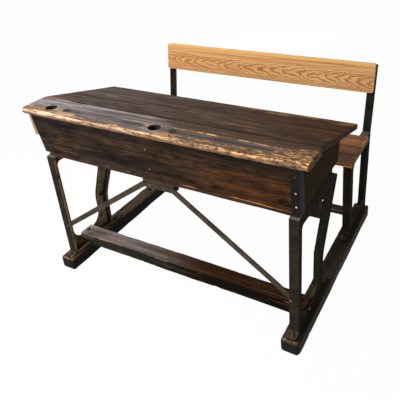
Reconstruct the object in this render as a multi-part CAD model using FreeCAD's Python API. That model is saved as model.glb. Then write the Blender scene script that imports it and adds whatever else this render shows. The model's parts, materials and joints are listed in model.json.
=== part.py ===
import FreeCAD, Part
import math
import os

# Two-seat school desk with its bench, on two wooden runners. Lengths are in millimetres and angles in
# degrees. X runs along the desk, the bench stands towards +Y, and Z is up from the floor. Most Y places
# are worked out from the front ends of the runners.

# Runners
runner_spacing = 1018.0
runner_width = 68.0
runner_height = 56.0
runner_round = 7.0
runner_rear_margin = 6.0

# Iron castings: a web near the outer face with a flange round its outline, on a foot plate
casting_width = 33.0
casting_flange = 9.0
casting_web = 8.0
casting_recess = 2.0
casting_round = 7.0
pocket_round = 7.0
foot_plate = 9.0
foot_plate_width = 38.0
foot_plate_round = 12.0
foot_cove = 7.0
flange_hole_share = 0.19

# Desk standards
standard_setback = 43.0
standard_height = 473.0
standard_depth = 381.0
standard_top_flat = 67.0
standard_drop = 38.0
standard_foot_depth = 241.0
standard_knee_height = 166.0
standard_knee_round = 150.0
standard_toe = 34.0
standard_heel = 58.0
standard_arm_round = 14.0
# The large opening and the small corner one, as shares of the standard's depth and height
leg_opening_shares = (
    (0.086, 0.085),
    (0.086, 0.911),
    (0.245, 0.905),
    (0.660, 0.652),
    (0.514, 0.372),
    (0.514, 0.085),
)
corner_opening_shares = ((0.455, 0.850), (0.600, 0.870), (0.722, 0.800), (0.680, 0.735))
# Corner radii of those openings, as shares of the standard's depth
leg_opening_round_shares = (0.142, 0.045, 0.110, 0.047, 0.315, 0.150)
corner_opening_round_shares = (0.016, 0.030, 0.021, 0.021)
lug_length = 34.0
lug_rear_margin = 16.0
lug_reach = 26.0
lug_pad = 7.0
arm_screw_share = 0.66

# Bench standards with their back posts
bench_setback = 640.0
bench_height = 385.0
bench_depth = 252.0
bench_rake = 40.0
bench_leg = 40.0
bench_arm = 42.0
bench_base = 44.0
bench_post_web = 36.0
bench_opening_round = 30.0
bench_toe = 52.0
post_thickness = 12.0
post_rise = 288.0
seat_screw_shares = (0.42, 0.80)
back_screw_shares = (0.28, 0.68)
post_lean = 9.5

# Seat and back
seat_thickness = 20.0
seat_depth = 253.0
seat_front_overhang = 55.0
seat_end_overhang = 18.0
seat_round = 6.0
back_thickness = 20.0
back_height = 126.0
back_bottom_rise = 172.0
back_end_inset = 2.0
back_round = 4.0
back_corner_round = 9.0

# Foot rail and rear stretcher
foot_rail_setback = 66.0
foot_rail_width = 69.0
foot_rail_thickness = 48.0
foot_rail_lift = 11.5
foot_rail_round = 4.0
rail_notch_inset = 12.0
rail_notch_width = 14.0
rail_notch_length = 22.0
rail_bolt_share = 0.34
stretcher_setback = 166.0
stretcher_width = 46.0
stretcher_thickness = 22.0
stretcher_drop = 6.0
tenon_length = 16.0
tenon_shoulder = 5.0
tenon_clearance = 0.1

# Desk box
box_front_setback = 11.0
box_rear_inset = 13.0
box_end_margin = 1.5
box_front_lean = 6.0
front_end_margin = 8.0
front_end_flare = 15.0
bottom_board = 12.0
bottom_board_inset = 10.0
panel_height = 173.0
front_panel_thickness = 20.0
end_panel_thickness = 22.0
back_panel_thickness = 16.0
divider_thickness = 14.0
divider_offset = -21.0
divider_lid_gap = 2.0

# Pen ledge
ledge_depth = 115.0
ledge_thickness = 26.0
ledge_front_overhang = 22.0
ledge_end_overhang = 37.0
ledge_corner_round = 8.0
nosing_share = 0.44
inkwell_radius = 22.0
inkwell_place_shares = (-0.80, 0.03)
inkwell_setback = 46.0
pen_groove_radius = 11.0
pen_groove_sink = 5.0
pen_groove_start = 50.0
pen_groove_length_share = 0.63
cleat_height = 98.0
cleat_length = 60.0
cleat_end_inset = 4.0

# Lift lid
lid_slope = 13.9
lid_rear_overhang = 84.0
lid_thickness = 20.0
lid_end_inset = 2.0
lid_rest_clearance = 0.4
lid_board_shares = (0.162, 0.585)
lid_round = 4.0
seam_chamfer = 2.0
batten_width = 46.0
batten_thickness = 18.0
batten_start = 42.0
batten_rear_clearance = 34.0
batten_place_share = 0.676
batten_round = 4.0

# Butt hinges in the seam between ledge and lid
hinge_place_shares = (-0.687, 0.0, 0.687)
hinge_length = 62.0
hinge_drop = 1.0
hinge_leaf = 1.4
hinge_leaf_margin = 4.0
hinge_leaf_gap = 0.4
knuckle_count = 5
knuckle_radius = 3.2
knuckle_gap = 0.3
knuckle_clearance = 0.4
hinge_pin_radius = 1.2
pin_clearance = 0.05

# Flat-iron brace
brace_width = 20.0
brace_thickness = 5.0
brace_end_height = 146.0
brace_top_half = 62.0
brace_top_drop = 10.0
brace_web_clearance = 0.5
block_margin = 4.0
block_depth = 30.0
block_height = 31.0

# Corner strap on the box
strap_width = 28.0
strap_return = 30.0
strap_thickness = 2.0

# Fasteners
bolt_radius = 4.0
bolt_head_radius = 7.0
bolt_head_side_count = 6
bolt_head_height = 5.0
bolt_washer_radius = 10.0
bolt_washer = 2.0
bolt_length = 46.0
bolt_edge = 16.0
screw_radius = 2.5
screw_head_radius = 5.0
screw_head_height = 3.0
board_bite_share = 0.5
floor_bite_share = 0.75
brace_bolt_radius = 3.0
brace_bolt_head_radius = 5.5
brace_bolt_head_height = 3.0
brace_nut_height = 4.5
brace_screw_share = 0.5
rail_bolt_radius = 4.0
rail_bolt_tail = 6.0
rail_nut_height = 6.0
nail_radius = 1.5
nail_head_radius = 3.2
nail_head_height = 1.2
nail_bite = 16.0
strap_nail_shares = (0.17, 0.46, 0.80)
strap_nail_inset_share = 0.55
divider_nail_shares = (0.22, 0.68)
hinge_screw_radius = 1.5
hinge_screw_head_radius = 2.8
hinge_screw_head = 0.9
hinge_screw_bite = 16.0
hinge_screw_spacing = 38.0
batten_screw_radius = 2.0
batten_screw_head_radius = 4.0
batten_screw_head = 2.0
batten_bite_share = 0.6
batten_screw_shares = (0.06, 0.28, 0.62, 0.92)
fastener_clearance = 0.15

# How far a cut runs past the faces that it opens
overrun = 2.0

V = FreeCAD.Vector
SIDES = (("left", -1), ("right", 1))

# Heights
runner_top = runner_height
box_bottom = runner_top + standard_height
panel_bottom = box_bottom + bottom_board
ledge_bottom = panel_bottom + panel_height
ledge_top = ledge_bottom + ledge_thickness
seat_bottom = runner_top + bench_height

# Places across the desk
runner_x = runner_spacing / 2
flange_x = runner_x + casting_width / 2
flange_inner_x = runner_x - casting_width / 2
flange_hole_x = flange_inner_x + flange_hole_share * casting_width
web_outer_x = flange_x - casting_recess
web_inner_x = web_outer_x - casting_web
box_end_x = flange_x + box_end_margin
end_panel_inner_x = box_end_x - end_panel_thickness
ledge_end_x = box_end_x + ledge_end_overhang
lid_end_x = ledge_end_x - lid_end_inset
seat_end_x = flange_x + seat_end_overhang
back_end_x = flange_x - back_end_inset
inkwell_places = [share * ledge_end_x for share in inkwell_place_shares]
pen_groove_length = pen_groove_length_share * ledge_end_x
hinge_places = [share * lid_end_x for share in hinge_place_shares]

# The part is centred between the runners' front ends and the rear of the back posts' tops.
lean_slope = math.tan(math.radians(post_lean))
overall_depth = bench_setback + bench_depth + post_rise * lean_slope
runner_front = -overall_depth / 2
standard_front = runner_front + standard_setback
bench_front = runner_front + bench_setback
post_rear = bench_front + bench_depth
post_front = post_rear - post_thickness
runner_rear = post_rear + runner_rear_margin

# The box's front face leans forward as it rises, and its rear edge is square to the lid.
box_front = standard_front + box_front_setback
box_rear = standard_front + standard_depth - box_rear_inset
front_slope = math.tan(math.radians(box_front_lean))
box_front_top = box_front - panel_height * front_slope
ledge_front = box_front_top - ledge_front_overhang
ledge_rear = ledge_front + ledge_depth

# The seam holds two closed hinge leaves, and the lid falls from its top edge.
seam_gap = 2 * hinge_leaf + hinge_leaf_gap
lid_front = ledge_rear + seam_gap
hinge_y = ledge_rear + seam_gap / 2
hinge_z = ledge_top - hinge_drop
hinge_leaf_height = lid_thickness - hinge_leaf_margin
slope = math.radians(lid_slope)
lid_over_box = (box_rear - lid_front) * math.cos(slope) + (ledge_top - panel_bottom) * math.sin(slope)
lid_length = lid_over_box + lid_rear_overhang
batten_length = lid_over_box - back_panel_thickness - batten_rear_clearance - batten_start
nail_length = front_panel_thickness + nail_bite


def box(x0, x1, y0, y1, z0, z1):
    """Block between two corners."""
    return Part.makeBox(x1 - x0, y1 - y0, z1 - z0, V(x0, y0, z0))


def rod(radius, start, direction, length):
    """Round bar from a start point along a direction."""
    return Part.makeCylinder(radius, length, start, direction)


def prism(wire, width):
    """Solid that carries a closed YZ outline along X."""
    return Part.Face(wire).extrude(V(width, 0, 0))


def outline(points, x0):
    """Closed straight-sided wire through (y, z) points at one X place."""
    corners = [V(x0, y, z) for y, z in points]
    return Part.makePolygon(corners + corners[:1])


def slab(points, x0, x1):
    """Solid with a straight-sided (y, z) outline between two X places."""
    return prism(outline(points, x0), x1 - x0)


def rounded_outline(points, radii, x0):
    """Closed (y, z) wire whose corners are rounded, each to its own radius."""
    corners = [V(x0, y, z) for y, z in points]
    count = len(corners)
    turns = []
    for i, corner in enumerate(corners):
        to_last = (corners[i - 1] - corner).normalize()
        to_next = (corners[(i + 1) % count] - corner).normalize()
        half = to_last.getAngle(to_next) / 2
        bisector = (to_last + to_next).normalize()
        run = radii[i] / math.tan(half)
        centre = corner + bisector * (radii[i] / math.sin(half))
        turns.append((corner + to_last * run, centre - bisector * radii[i], corner + to_next * run))
    edges = []
    for i, (start, middle, end) in enumerate(turns):
        if radii[i] > 0:
            edges.append(Part.Arc(start, middle, end).toShape())
        edges.append(Part.LineSegment(end, turns[(i + 1) % count][0]).toShape())
    return Part.Wire(edges)


def crossing(p, p_way, q, q_way):
    """Point where two (y, z) lines cross, each given by a point and a direction."""
    spread = p_way[0] * q_way[1] - p_way[1] * q_way[0]
    step = ((q[0] - p[0]) * q_way[1] - (q[1] - p[1]) * q_way[0]) / spread
    return (p[0] + step * p_way[0], p[1] + step * p_way[1])


def inset(points, depth):
    """Clockwise (y, z) outline moved inwards by one depth all round."""
    count = len(points)
    lines = []
    for i in range(count):
        (y0, z0), (y1, z1) = points[i], points[(i + 1) % count]
        length = math.hypot(y1 - y0, z1 - z0)
        way = ((y1 - y0) / length, (z1 - z0) / length)
        lines.append(((y0 + way[1] * depth, z0 - way[0] * depth), way))
    return [crossing(*lines[i - 1], *lines[i]) for i in range(count)]


def soften(solid, radius, chosen):
    """Solid with the edges that pass a test rounded."""
    edges = [edge for edge in solid.Edges if chosen(edge)]
    return solid.makeFillet(radius, edges)


def runs_along(edge, axis):
    """Whether an edge of a squared block runs along one axis, named by its index."""
    way = edge.tangentAt(edge.FirstParameter)
    return round(abs(way[axis])) == 1


def lid_point(along, down):
    """(y, z) of a point on the lid: along its slope from the seam edge, and down from its top face."""
    y = lid_front + along * math.cos(slope) - down * math.sin(slope)
    z = ledge_top - along * math.sin(slope) - down * math.cos(slope)
    return (y, z)


def post_shift(rise):
    """How far back the post's face has leaned at a rise above the seat's underside."""
    return rise * lean_slope


def hexagon(start, direction, radius, height):
    """Six-sided head or nut that stands on a start point along a direction."""
    corners = []
    for i in range(bolt_head_side_count + 1):
        turn = 2 * math.pi * i / bolt_head_side_count
        corners.append(V(math.cos(turn), math.sin(turn), 0) * radius)
    block = Part.Face(Part.makePolygon(corners)).extrude(V(0, 0, height))
    block.Placement = FreeCAD.Placement(start, FreeCAD.Rotation(V(0, 0, 1), direction))
    return block


def bolt(seat, direction, length, washer_radius):
    """Coach bolt with its washer: seat is on the clamped face, and direction points into the joint."""
    back = direction * -1
    washer = rod(washer_radius, seat, back, bolt_washer)
    head = hexagon(seat + back * bolt_washer, back, bolt_head_radius, bolt_head_height)
    return washer.fuse([head, rod(bolt_radius, seat, direction, length)]).removeSplitter()


def screw(seat, direction, length, radius, head_radius, head_height):
    """Pin with a round head: seat is on the clamped face, and direction points into the joint."""
    head = rod(head_radius, seat, direction * -1, head_height)
    return head.fuse(rod(radius, seat, direction, length)).removeSplitter()


def bore(seat, direction, length, radius):
    """Cutter for a fastener's shank, with its clearance, that opens the face at the seat."""
    reach = length + overrun + fastener_clearance
    return rod(radius + fastener_clearance, seat - direction * overrun, direction, reach)


def foot_cutter(y_front, y_rear, x):
    """Foot plate of a casting, lying on its runner, with rounded corners in plan."""
    half = foot_plate_width / 2
    plate = box(x - half, x + half, y_front, y_rear, runner_top, runner_top + foot_plate)
    return soften(plate, foot_plate_round, lambda edge: runs_along(edge, 2))


def cove(y, z, ahead, x):
    """Concave fillet, as wide as the casting, between a foot plate and the flange that rises from it."""
    reach = ahead * foot_cove
    corner = ((y, z), (y + reach, z), (y, z + foot_cove))
    square = slab(corner, x - casting_width / 2, x + casting_width / 2)
    hollow = rod(foot_cove, V(x - casting_width, y + reach, z + foot_cove), V(1, 0, 0), 2 * casting_width)
    return square.cut(hollow)


def casting(points, radii, openings, side):
    """Flanged web: the outline at full width, sunk to the web on both faces, with openings cut through."""
    left = side * runner_x - casting_width / 2
    body = prism(rounded_outline(points, radii, left), casting_width)
    sunk = inset(points, casting_flange)
    pocket = rounded_outline(sunk, [pocket_round] * len(sunk), 0)
    cutters = []
    for inner, outer in ((flange_inner_x - overrun, web_inner_x), (web_outer_x, flange_x + overrun)):
        start = min(side * inner, side * outer)
        cutters.append(prism(pocket, outer - inner).translated(V(start, 0, 0)))
    for opening_points, opening_radii in openings:
        wire = rounded_outline(opening_points, opening_radii, left - overrun)
        cutters.append(prism(wire, casting_width + 2 * overrun))
    return body.cut(cutters)


def standard_place(share):
    """(y, z) on a desk standard from a pair of shares of its depth and height."""
    return (standard_front + share[0] * standard_depth, runner_top + share[1] * standard_height)


def desk_standard(side):
    """Cast end frame of the desk: front leg, curved rear leg, arm under the box and foot plate."""
    x = side * runner_x
    front, rear = standard_front, standard_front + standard_depth
    heel = standard_front + standard_foot_depth
    points = (
        (front, runner_top),
        (front, box_bottom),
        (front + standard_top_flat, box_bottom),
        (rear, box_bottom - standard_drop),
        (heel, runner_top + standard_knee_height),
        (heel, runner_top),
    )
    radii = (0, casting_round, 0, standard_arm_round, standard_knee_round, 0)
    openings = []
    for shares, rounds in (
        (leg_opening_shares, leg_opening_round_shares),
        (corner_opening_shares, corner_opening_round_shares),
    ):
        openings.append(([standard_place(share) for share in shares], [r * standard_depth for r in rounds]))
    body = casting(points, radii, openings, side)
    plate_top = runner_top + foot_plate
    added = [
        foot_cutter(front - standard_toe, heel + standard_heel, x),
        cove(front, plate_top, -1, x),
        cove(heel, plate_top, 1, x),
        rear_lug(side),
    ]
    body = body.fuse(added).removeSplitter()
    return body.cut(standard_bores(side))


def lug_span():
    """Front and rear Y of the lug that carries the rear of the box."""
    rear = standard_front + standard_depth - lug_rear_margin
    return rear - lug_length, rear


def rear_lug(side):
    """Lug on the arm's inner half, with a pad that reaches inwards under the bottom board."""
    y0, y1 = lug_span()
    fall = standard_drop / (standard_depth - standard_top_flat)
    arm_top = box_bottom - fall * (y0 - standard_front - standard_top_flat)
    root = arm_top - (y1 - y0) * fall - casting_flange
    stem = box(flange_inner_x, runner_x, y0, y1, root, box_bottom)
    pad = box(flange_inner_x - lug_reach, runner_x, y0, y1, box_bottom - lug_pad, box_bottom)
    lug = stem.fuse(pad)
    return lug if side > 0 else lug.mirror(V(0, 0, 0), V(1, 0, 0))


def box_screw_seats(side):
    """Seats of the screws that hold the box: under the front of the arm, and under the lug's pad."""
    y0, y1 = lug_span()
    front_y = standard_front + standard_top_flat * arm_screw_share
    inner = flange_inner_x - lug_reach / 2
    return (
        V(side * flange_hole_x, front_y, box_bottom - casting_flange),
        V(side * inner, (y0 + y1) / 2, box_bottom - lug_pad),
    )


def standard_foot_seats(side):
    """Seats of the two bolts that hold a desk standard to its runner."""
    top = runner_top + foot_plate
    heel_end = standard_front + standard_foot_depth + standard_heel
    return (
        V(side * runner_x, standard_front - standard_toe + bolt_edge, top),
        V(side * runner_x, heel_end - bolt_edge, top),
    )


def brace_bolt_seat(side):
    """Seat of the bolt through the leg's flange into the brace's end."""
    return V(side * flange_hole_x, standard_front, runner_top + brace_end_height)


def rail_bolt_seat(side):
    """Seat of the bolt through a standard's web into the end of the foot rail."""
    y = standard_front + foot_rail_setback + foot_rail_width / 2
    z = runner_top + foot_rail_lift + rail_bolt_share * foot_rail_thickness
    return V(side * web_outer_x, y, z)


def standard_bores(side):
    """Cutters for every fastener that passes through a desk standard."""
    tools = [bore(seat, V(0, 0, -1), bolt_length, bolt_radius) for seat in standard_foot_seats(side)]
    for seat in box_screw_seats(side):
        tools.append(bore(seat, V(0, 0, 1), casting_flange + overrun, screw_radius))
    tools.append(bore(brace_bolt_seat(side), V(0, 1, 0), casting_flange + overrun, brace_bolt_radius))
    tools.append(bore(rail_bolt_seat(side), V(-side, 0, 0), casting_web + overrun, rail_bolt_radius))
    return tools


def bench_standard(side):
    """Cast end frame of the bench, with the post that rises from its rear to carry the back."""
    x = side * runner_x
    front, rear = bench_front, post_rear
    points = (
        (front, runner_top),
        (front - bench_rake, seat_bottom),
        (rear, seat_bottom),
        (rear, runner_top),
    )
    radii = (0, casting_round, 0, 0)
    low = bench_base
    high = bench_height - bench_arm
    opening = (
        (front + bench_leg - bench_rake * low / bench_height, runner_top + low),
        (front + bench_leg - bench_rake * high / bench_height, runner_top + high),
        (rear - bench_post_web, runner_top + high),
        (rear - bench_post_web, runner_top + low),
    )
    body = casting(points, radii, [(opening, [bench_opening_round] * len(opening))], side)
    shift = post_shift(post_rise)
    top = seat_bottom + post_rise
    post = slab(
        (
            (post_front, runner_top),
            (post_front, seat_bottom),
            (post_front + shift, top),
            (rear + shift, top),
            (rear, seat_bottom),
            (rear, runner_top),
        ),
        x - casting_width / 2,
        x + casting_width / 2,
    )
    plate_top = runner_top + foot_plate
    added = [post, foot_cutter(front - bench_toe, rear, x), cove(front, plate_top, -1, x)]
    body = body.fuse(added).removeSplitter()
    return body.cut(bench_bores(side))


def bench_foot_seats(side):
    """Seats of the two bolts that hold a bench standard: on its toe, and beside its web at the rear."""
    top = runner_top + foot_plate
    beside = (web_inner_x + runner_x - foot_plate_width / 2) / 2
    return (
        V(side * runner_x, bench_front - bench_toe + bolt_edge, top),
        V(side * beside, post_front - bench_post_web, top),
    )


def seat_screw_seats(side):
    """Seats of the screws that come up through the bench arm into the seat."""
    seat_front = bench_front - bench_rake - seat_front_overhang
    z = seat_bottom - casting_flange
    return [V(side * flange_hole_x, seat_front + share * seat_depth, z) for share in seat_screw_shares]


def back_screw_seats(side):
    """Seats of the screws through the post into the back, with their direction square to the post."""
    lean = math.radians(post_lean)
    way = V(0, -math.cos(lean), math.sin(lean))
    seats = []
    for share in back_screw_shares:
        rise = back_bottom_rise + share * back_height
        seats.append(V(side * runner_x, post_rear + post_shift(rise), seat_bottom + rise))
    return seats, way


def bench_bores(side):
    """Cutters for every fastener that passes through a bench standard."""
    tools = [bore(seat, V(0, 0, -1), bolt_length, bolt_radius) for seat in bench_foot_seats(side)]
    for seat in seat_screw_seats(side):
        tools.append(bore(seat, V(0, 0, 1), casting_flange + overrun, screw_radius))
    seats, way = back_screw_seats(side)
    tools += [bore(seat, way, post_thickness + overrun, screw_radius) for seat in seats]
    return tools


def stretcher_span():
    """Y and Z spans of the rear stretcher."""
    y0 = bench_front + stretcher_setback
    z1 = runner_top - stretcher_drop
    return (y0, y0 + stretcher_width), (z1 - stretcher_thickness, z1)


def tenon(side, clearance):
    """Tenon of the rear stretcher in a runner, or its mortise when a clearance is given."""
    (y0, y1), (z0, z1) = stretcher_span()
    inner = runner_x - runner_width / 2
    edge = tenon_shoulder - clearance
    block = box(
        inner - overrun * (clearance > 0),
        inner + tenon_length + clearance,
        y0 + edge,
        y1 - edge,
        z0 + edge,
        z1 - edge,
    )
    return block if side > 0 else block.mirror(V(0, 0, 0), V(1, 0, 0))


def runner(side):
    """Wooden floor runner with rounded ends, mortised for the stretcher and bored for the foot bolts."""
    x = side * runner_x
    half = runner_width / 2
    beam = box(x - half, x + half, runner_front, runner_rear, 0, runner_height)
    ends = (runner_front, runner_rear)

    def at_an_end(edge):
        place = edge.CenterOfMass.y
        upright = runs_along(edge, 2)
        top = runs_along(edge, 0) and edge.CenterOfMass.z > runner_height / 2
        return (upright or top) and min(abs(place - end) for end in ends) < overrun

    beam = soften(beam, runner_round, at_an_end)
    seats = standard_foot_seats(side) + bench_foot_seats(side)
    tools = [bore(seat, V(0, 0, -1), bolt_length, bolt_radius) for seat in seats]
    tools.append(tenon(side, tenon_clearance))
    return beam.cut(tools)


def foot_rail():
    """Wooden rail between the desk standards, where the feet rest."""
    x = web_inner_x
    y0 = standard_front + foot_rail_setback
    z0 = runner_top + foot_rail_lift
    rail = box(-x, x, y0, y0 + foot_rail_width, z0, z0 + foot_rail_thickness)
    rail = soften(rail, foot_rail_round, lambda edge: runs_along(edge, 0))
    tools = []
    for _, side in SIDES:
        seat = rail_bolt_seat(side)
        tools.append(bore(seat, V(-side, 0, 0), rail_bolt_length(), rail_bolt_radius))
        low = seat.z - rail_notch_length / 2
        notch = x - rail_notch_inset
        near, far = sorted((side * notch, side * (notch - rail_notch_width)))
        half = rail_notch_length / 2
        tools.append(box(near, far, seat.y - half, seat.y + half, low, z0 + foot_rail_thickness + overrun))
    return rail.cut(tools)


def rail_bolt_length():
    """Length of a rail bolt: through the web and the rail's end, across the notch and a little further."""
    return casting_web + rail_notch_inset + rail_notch_width + rail_bolt_tail


def rear_stretcher():
    """Wooden rail between the runners under the bench, tenoned into both."""
    (y0, y1), (z0, z1) = stretcher_span()
    inner = runner_x - runner_width / 2
    rail = box(-inner, inner, y0, y1, z0, z1)
    return rail.fuse([tenon(side, 0) for _, side in SIDES]).removeSplitter()


def brace_line():
    """(x, z) bends of the brace's middle line, from the left leg to the right one."""
    end_z = runner_top + brace_end_height
    top_z = box_bottom - brace_top_drop - brace_width / 2
    return (
        (-flange_hole_x, end_z),
        (-brace_top_half, top_z),
        (brace_top_half, top_z),
        (flange_hole_x, end_z),
    )


def cross_brace():
    """Flat bar, bent at two places, from leg to leg under the middle of the box."""
    y = standard_front + casting_flange
    line = brace_line()
    runs = []
    for (x0, z0), (x1, z1) in zip(line, line[1:]):
        length = math.hypot(x1 - x0, z1 - z0)
        run = box(0, length, 0, brace_thickness, -brace_width / 2, brace_width / 2)
        run.rotate(V(0, 0, 0), V(0, -1, 0), math.degrees(math.atan2(z1 - z0, x1 - x0)))
        runs.append(run.translated(V(x0, y, z0)))
    for x, z in line:
        runs.append(rod(brace_width / 2, V(x, y, z), V(0, 1, 0), brace_thickness))
    bar = runs[0].fuse(runs[1:]).removeSplitter()
    limit = web_inner_x - brace_web_clearance
    room = box(-limit, limit, y, y + brace_thickness, 0, box_bottom)
    bar = bar.common(room)
    tools = [bore(seat, V(0, 1, 0), block_depth, screw_radius) for seat in brace_screw_seats()]
    for _, side in SIDES:
        tools.append(bore(brace_bolt_seat(side), V(0, 1, 0), block_depth, brace_bolt_radius))
    return bar.cut(tools)


def brace_screw_seats():
    """Seats of the two screws that hold the brace's flat top to its block."""
    top_z = brace_line()[1][1]
    half = brace_screw_share * brace_top_half
    return [V(x, standard_front + casting_flange, top_z) for x in (-half, half)]


def brace_block():
    """Wooden block under the box that the brace's flat top is screwed to."""
    y0 = standard_front + casting_flange + brace_thickness
    half = brace_top_half + block_margin
    block = box(-half, half, y0, y0 + block_depth, box_bottom - block_height, box_bottom)
    length = brace_thickness + board_bite_share * block_depth
    return block.cut([bore(seat, V(0, 1, 0), length, screw_radius) for seat in brace_screw_seats()])


def seat_plank():
    """Bench seat."""
    y0 = bench_front - bench_rake - seat_front_overhang
    plank = box(-seat_end_x, seat_end_x, y0, y0 + seat_depth, seat_bottom, seat_bottom + seat_thickness)
    plank = soften(plank, seat_round, lambda edge: edge.CenterOfMass.z > seat_bottom + seat_round)
    tools = []
    for _, side in SIDES:
        seats = seat_screw_seats(side)
        tools += [bore(seat, V(0, 0, 1), seat_screw_length(), screw_radius) for seat in seats]
    return plank.cut(tools)


def seat_screw_length():
    """Length of a seat screw, through the bench arm's flange and into the seat."""
    return casting_flange + board_bite_share * seat_thickness


def back_screw_length():
    """Length of a back screw, through the post and into the back."""
    return post_thickness + board_bite_share * back_thickness


def backrest_plank():
    """Leaning back of the bench with rounded corners, screwed to the front of the posts."""
    plank = box(-back_end_x, back_end_x, -back_thickness, 0, 0, back_height)
    plank = soften(plank, back_corner_round, lambda edge: runs_along(edge, 1))
    plank = soften(plank, back_round, lambda edge: edge.BoundBox.YLength < back_round)
    plank.rotate(V(0, 0, 0), V(-1, 0, 0), post_lean)
    plank.translate(V(0, post_front + post_shift(back_bottom_rise), seat_bottom + back_bottom_rise))
    tools = []
    for _, side in SIDES:
        seats, way = back_screw_seats(side)
        tools += [bore(seat, way, back_screw_length(), screw_radius) for seat in seats]
    return plank.cut(tools)


def lid_underside(clearance):
    """Point and direction of the (y, z) line a clearance below the lid's underside."""
    return lid_point(0, lid_thickness + clearance), (math.cos(slope), -math.sin(slope))


def front_line(back_from_face):
    """Bottom and top (y, z) points of a line parallel to the box's front face, some way behind it."""
    shift = back_from_face / math.cos(math.radians(box_front_lean))
    return (box_front + shift, panel_bottom), (box_front_top + shift, ledge_bottom)


def rear_line(ahead_of_face, clearance):
    """Bottom and top (y, z) points of a line parallel to the box's rear edge, some way ahead of it."""
    up = (math.sin(slope), math.cos(slope))
    low = (box_rear - ahead_of_face / math.cos(slope), panel_bottom)
    return low, crossing(low, up, *lid_underside(clearance))


def side_outline(front_inset, rear_inset, clearance):
    """(y, z) outline of an upright board in the box: level under the ledge, then falling with the lid."""
    low_front, high_front = front_line(front_inset)
    low_rear, high_rear = rear_line(rear_inset, clearance)
    brow = crossing((0, ledge_bottom), (1, 0), *lid_underside(clearance))
    return (low_front, high_front, brow, high_rear, low_rear)


def box_end(side):
    """End panel of the box, behind the front panel."""
    inner, outer = sorted((side * end_panel_inner_x, side * box_end_x))
    panel = slab(side_outline(front_panel_thickness, 0, lid_rest_clearance), inner, outer)
    if side > 0:
        panel = panel.cut([nail_bore(seat) for seat in strap_nail_seats()])
    return panel


def front_board():
    """Board over both end panels, leaning forward as it rises, its left end slanting outwards."""
    low, high = front_line(0)
    low_back, high_back = front_line(front_panel_thickness)
    left = box_end_x + front_end_margin + front_end_flare
    return slab((low, high, high_back, low_back), -left, box_end_x).cut(front_end_wedge())


def box_front_panel():
    """Front panel of the box, bored for the nails in the divider and the strap."""
    seats = divider_nail_seats() + strap_nail_seats()
    return front_board().cut([nail_bore(seat) for seat in seats])


def front_end_wedge():
    """Cutter that slants the front panel's left end."""
    slant = front_end_flare * overrun / panel_height
    foot_x = box_end_x + front_end_margin - slant
    head_x = foot_x + front_end_flare + 2 * slant
    y0, y1 = front_line(0)[1][0] - overrun, front_line(front_panel_thickness)[0][0] + overrun
    low, high = panel_bottom - overrun, ledge_bottom + overrun
    corners = [V(-foot_x, y0, low), V(-head_x, y0, high), V(-head_x, y0, low)]
    return Part.Face(Part.makePolygon(corners + corners[:1])).extrude(V(0, y1 - y0, 0))


def box_back_panel():
    """Rear panel between the end panels, square to the lid and just below it."""
    low, high = rear_line(0, lid_rest_clearance)
    low_front, high_front = rear_line(back_panel_thickness, lid_rest_clearance)
    return slab((low, low_front, high_front, high), -end_panel_inner_x, end_panel_inner_x)


def box_divider():
    """Upright board that parts the box into two compartments."""
    points = side_outline(front_panel_thickness, back_panel_thickness, divider_lid_gap)
    half = divider_thickness / 2
    board = slab(points, divider_offset - half, divider_offset + half)
    return board.cut([nail_bore(seat) for seat in divider_nail_seats()])


def box_bottom_board():
    """Floor of the box, under the panels and on the standards' arms and lugs."""
    x = box_end_x - bottom_board_inset
    board = box(-x, x, box_front, box_rear, box_bottom, panel_bottom)
    tools = []
    for _, side in SIDES:
        for seat, through in zip(box_screw_seats(side), (casting_flange, lug_pad)):
            tools.append(bore(seat, V(0, 0, 1), through + floor_bite_share * bottom_board, screw_radius))
    return board.cut(tools)


def front_face_point(x, share, lift):
    """Point on the front panel at a share of its height, lifted off its face."""
    lean = math.radians(box_front_lean)
    z = panel_bottom + share * panel_height
    y = box_front - share * panel_height * front_slope
    return V(x, y - lift * math.cos(lean), z - lift * math.sin(lean))


def into_front():
    """Direction square to the front panel, into the box."""
    lean = math.radians(box_front_lean)
    return V(0, math.cos(lean), math.sin(lean))


def divider_nail_seats():
    """Seats of the nails through the front panel into the divider."""
    return [front_face_point(divider_offset, share, 0) for share in divider_nail_shares]


def strap_nail_seats():
    """Seats of the nails through the corner strap and the front panel into the right end panel."""
    x = box_end_x - strap_nail_inset_share * end_panel_thickness
    return [front_face_point(x, share, strap_thickness) for share in strap_nail_shares]


def nail_bore(seat):
    """Cutter for a nail's shank from its seat inwards."""
    return bore(seat, into_front(), nail_length, nail_radius)


def corner_strap_right():
    """Iron strap round the box's right front corner."""
    lean = math.radians(box_front_lean)
    lift = -strap_thickness / math.cos(lean)
    low, high = front_line(lift * math.cos(lean))
    low_face, high_face = front_line(0)
    low_back, high_back = front_line(strap_return)
    outer = box_end_x + strap_thickness
    front = slab((low, high, high_face, low_face), box_end_x - strap_width, outer)
    end = slab((low_face, high_face, high_back, low_back), box_end_x, outer)
    strap = front.fuse(end).removeSplitter()
    return strap.cut([nail_bore(seat) for seat in strap_nail_seats()])


def hinge_axis(reach, length):
    """Bar round the hinge axis from an X place, used for knuckles, pins and their cuts."""
    def bar(x, radius):
        return rod(radius, V(x + reach, hinge_y, hinge_z), V(1, 0, 0), length)
    return bar


def knuckle_grooves():
    """Cutters that let the knuckles into the seam's two edges."""
    length = hinge_length + 2 * knuckle_gap
    bar = hinge_axis(-length / 2, length)
    return [bar(x, knuckle_radius + knuckle_clearance) for x in hinge_places]


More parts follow.
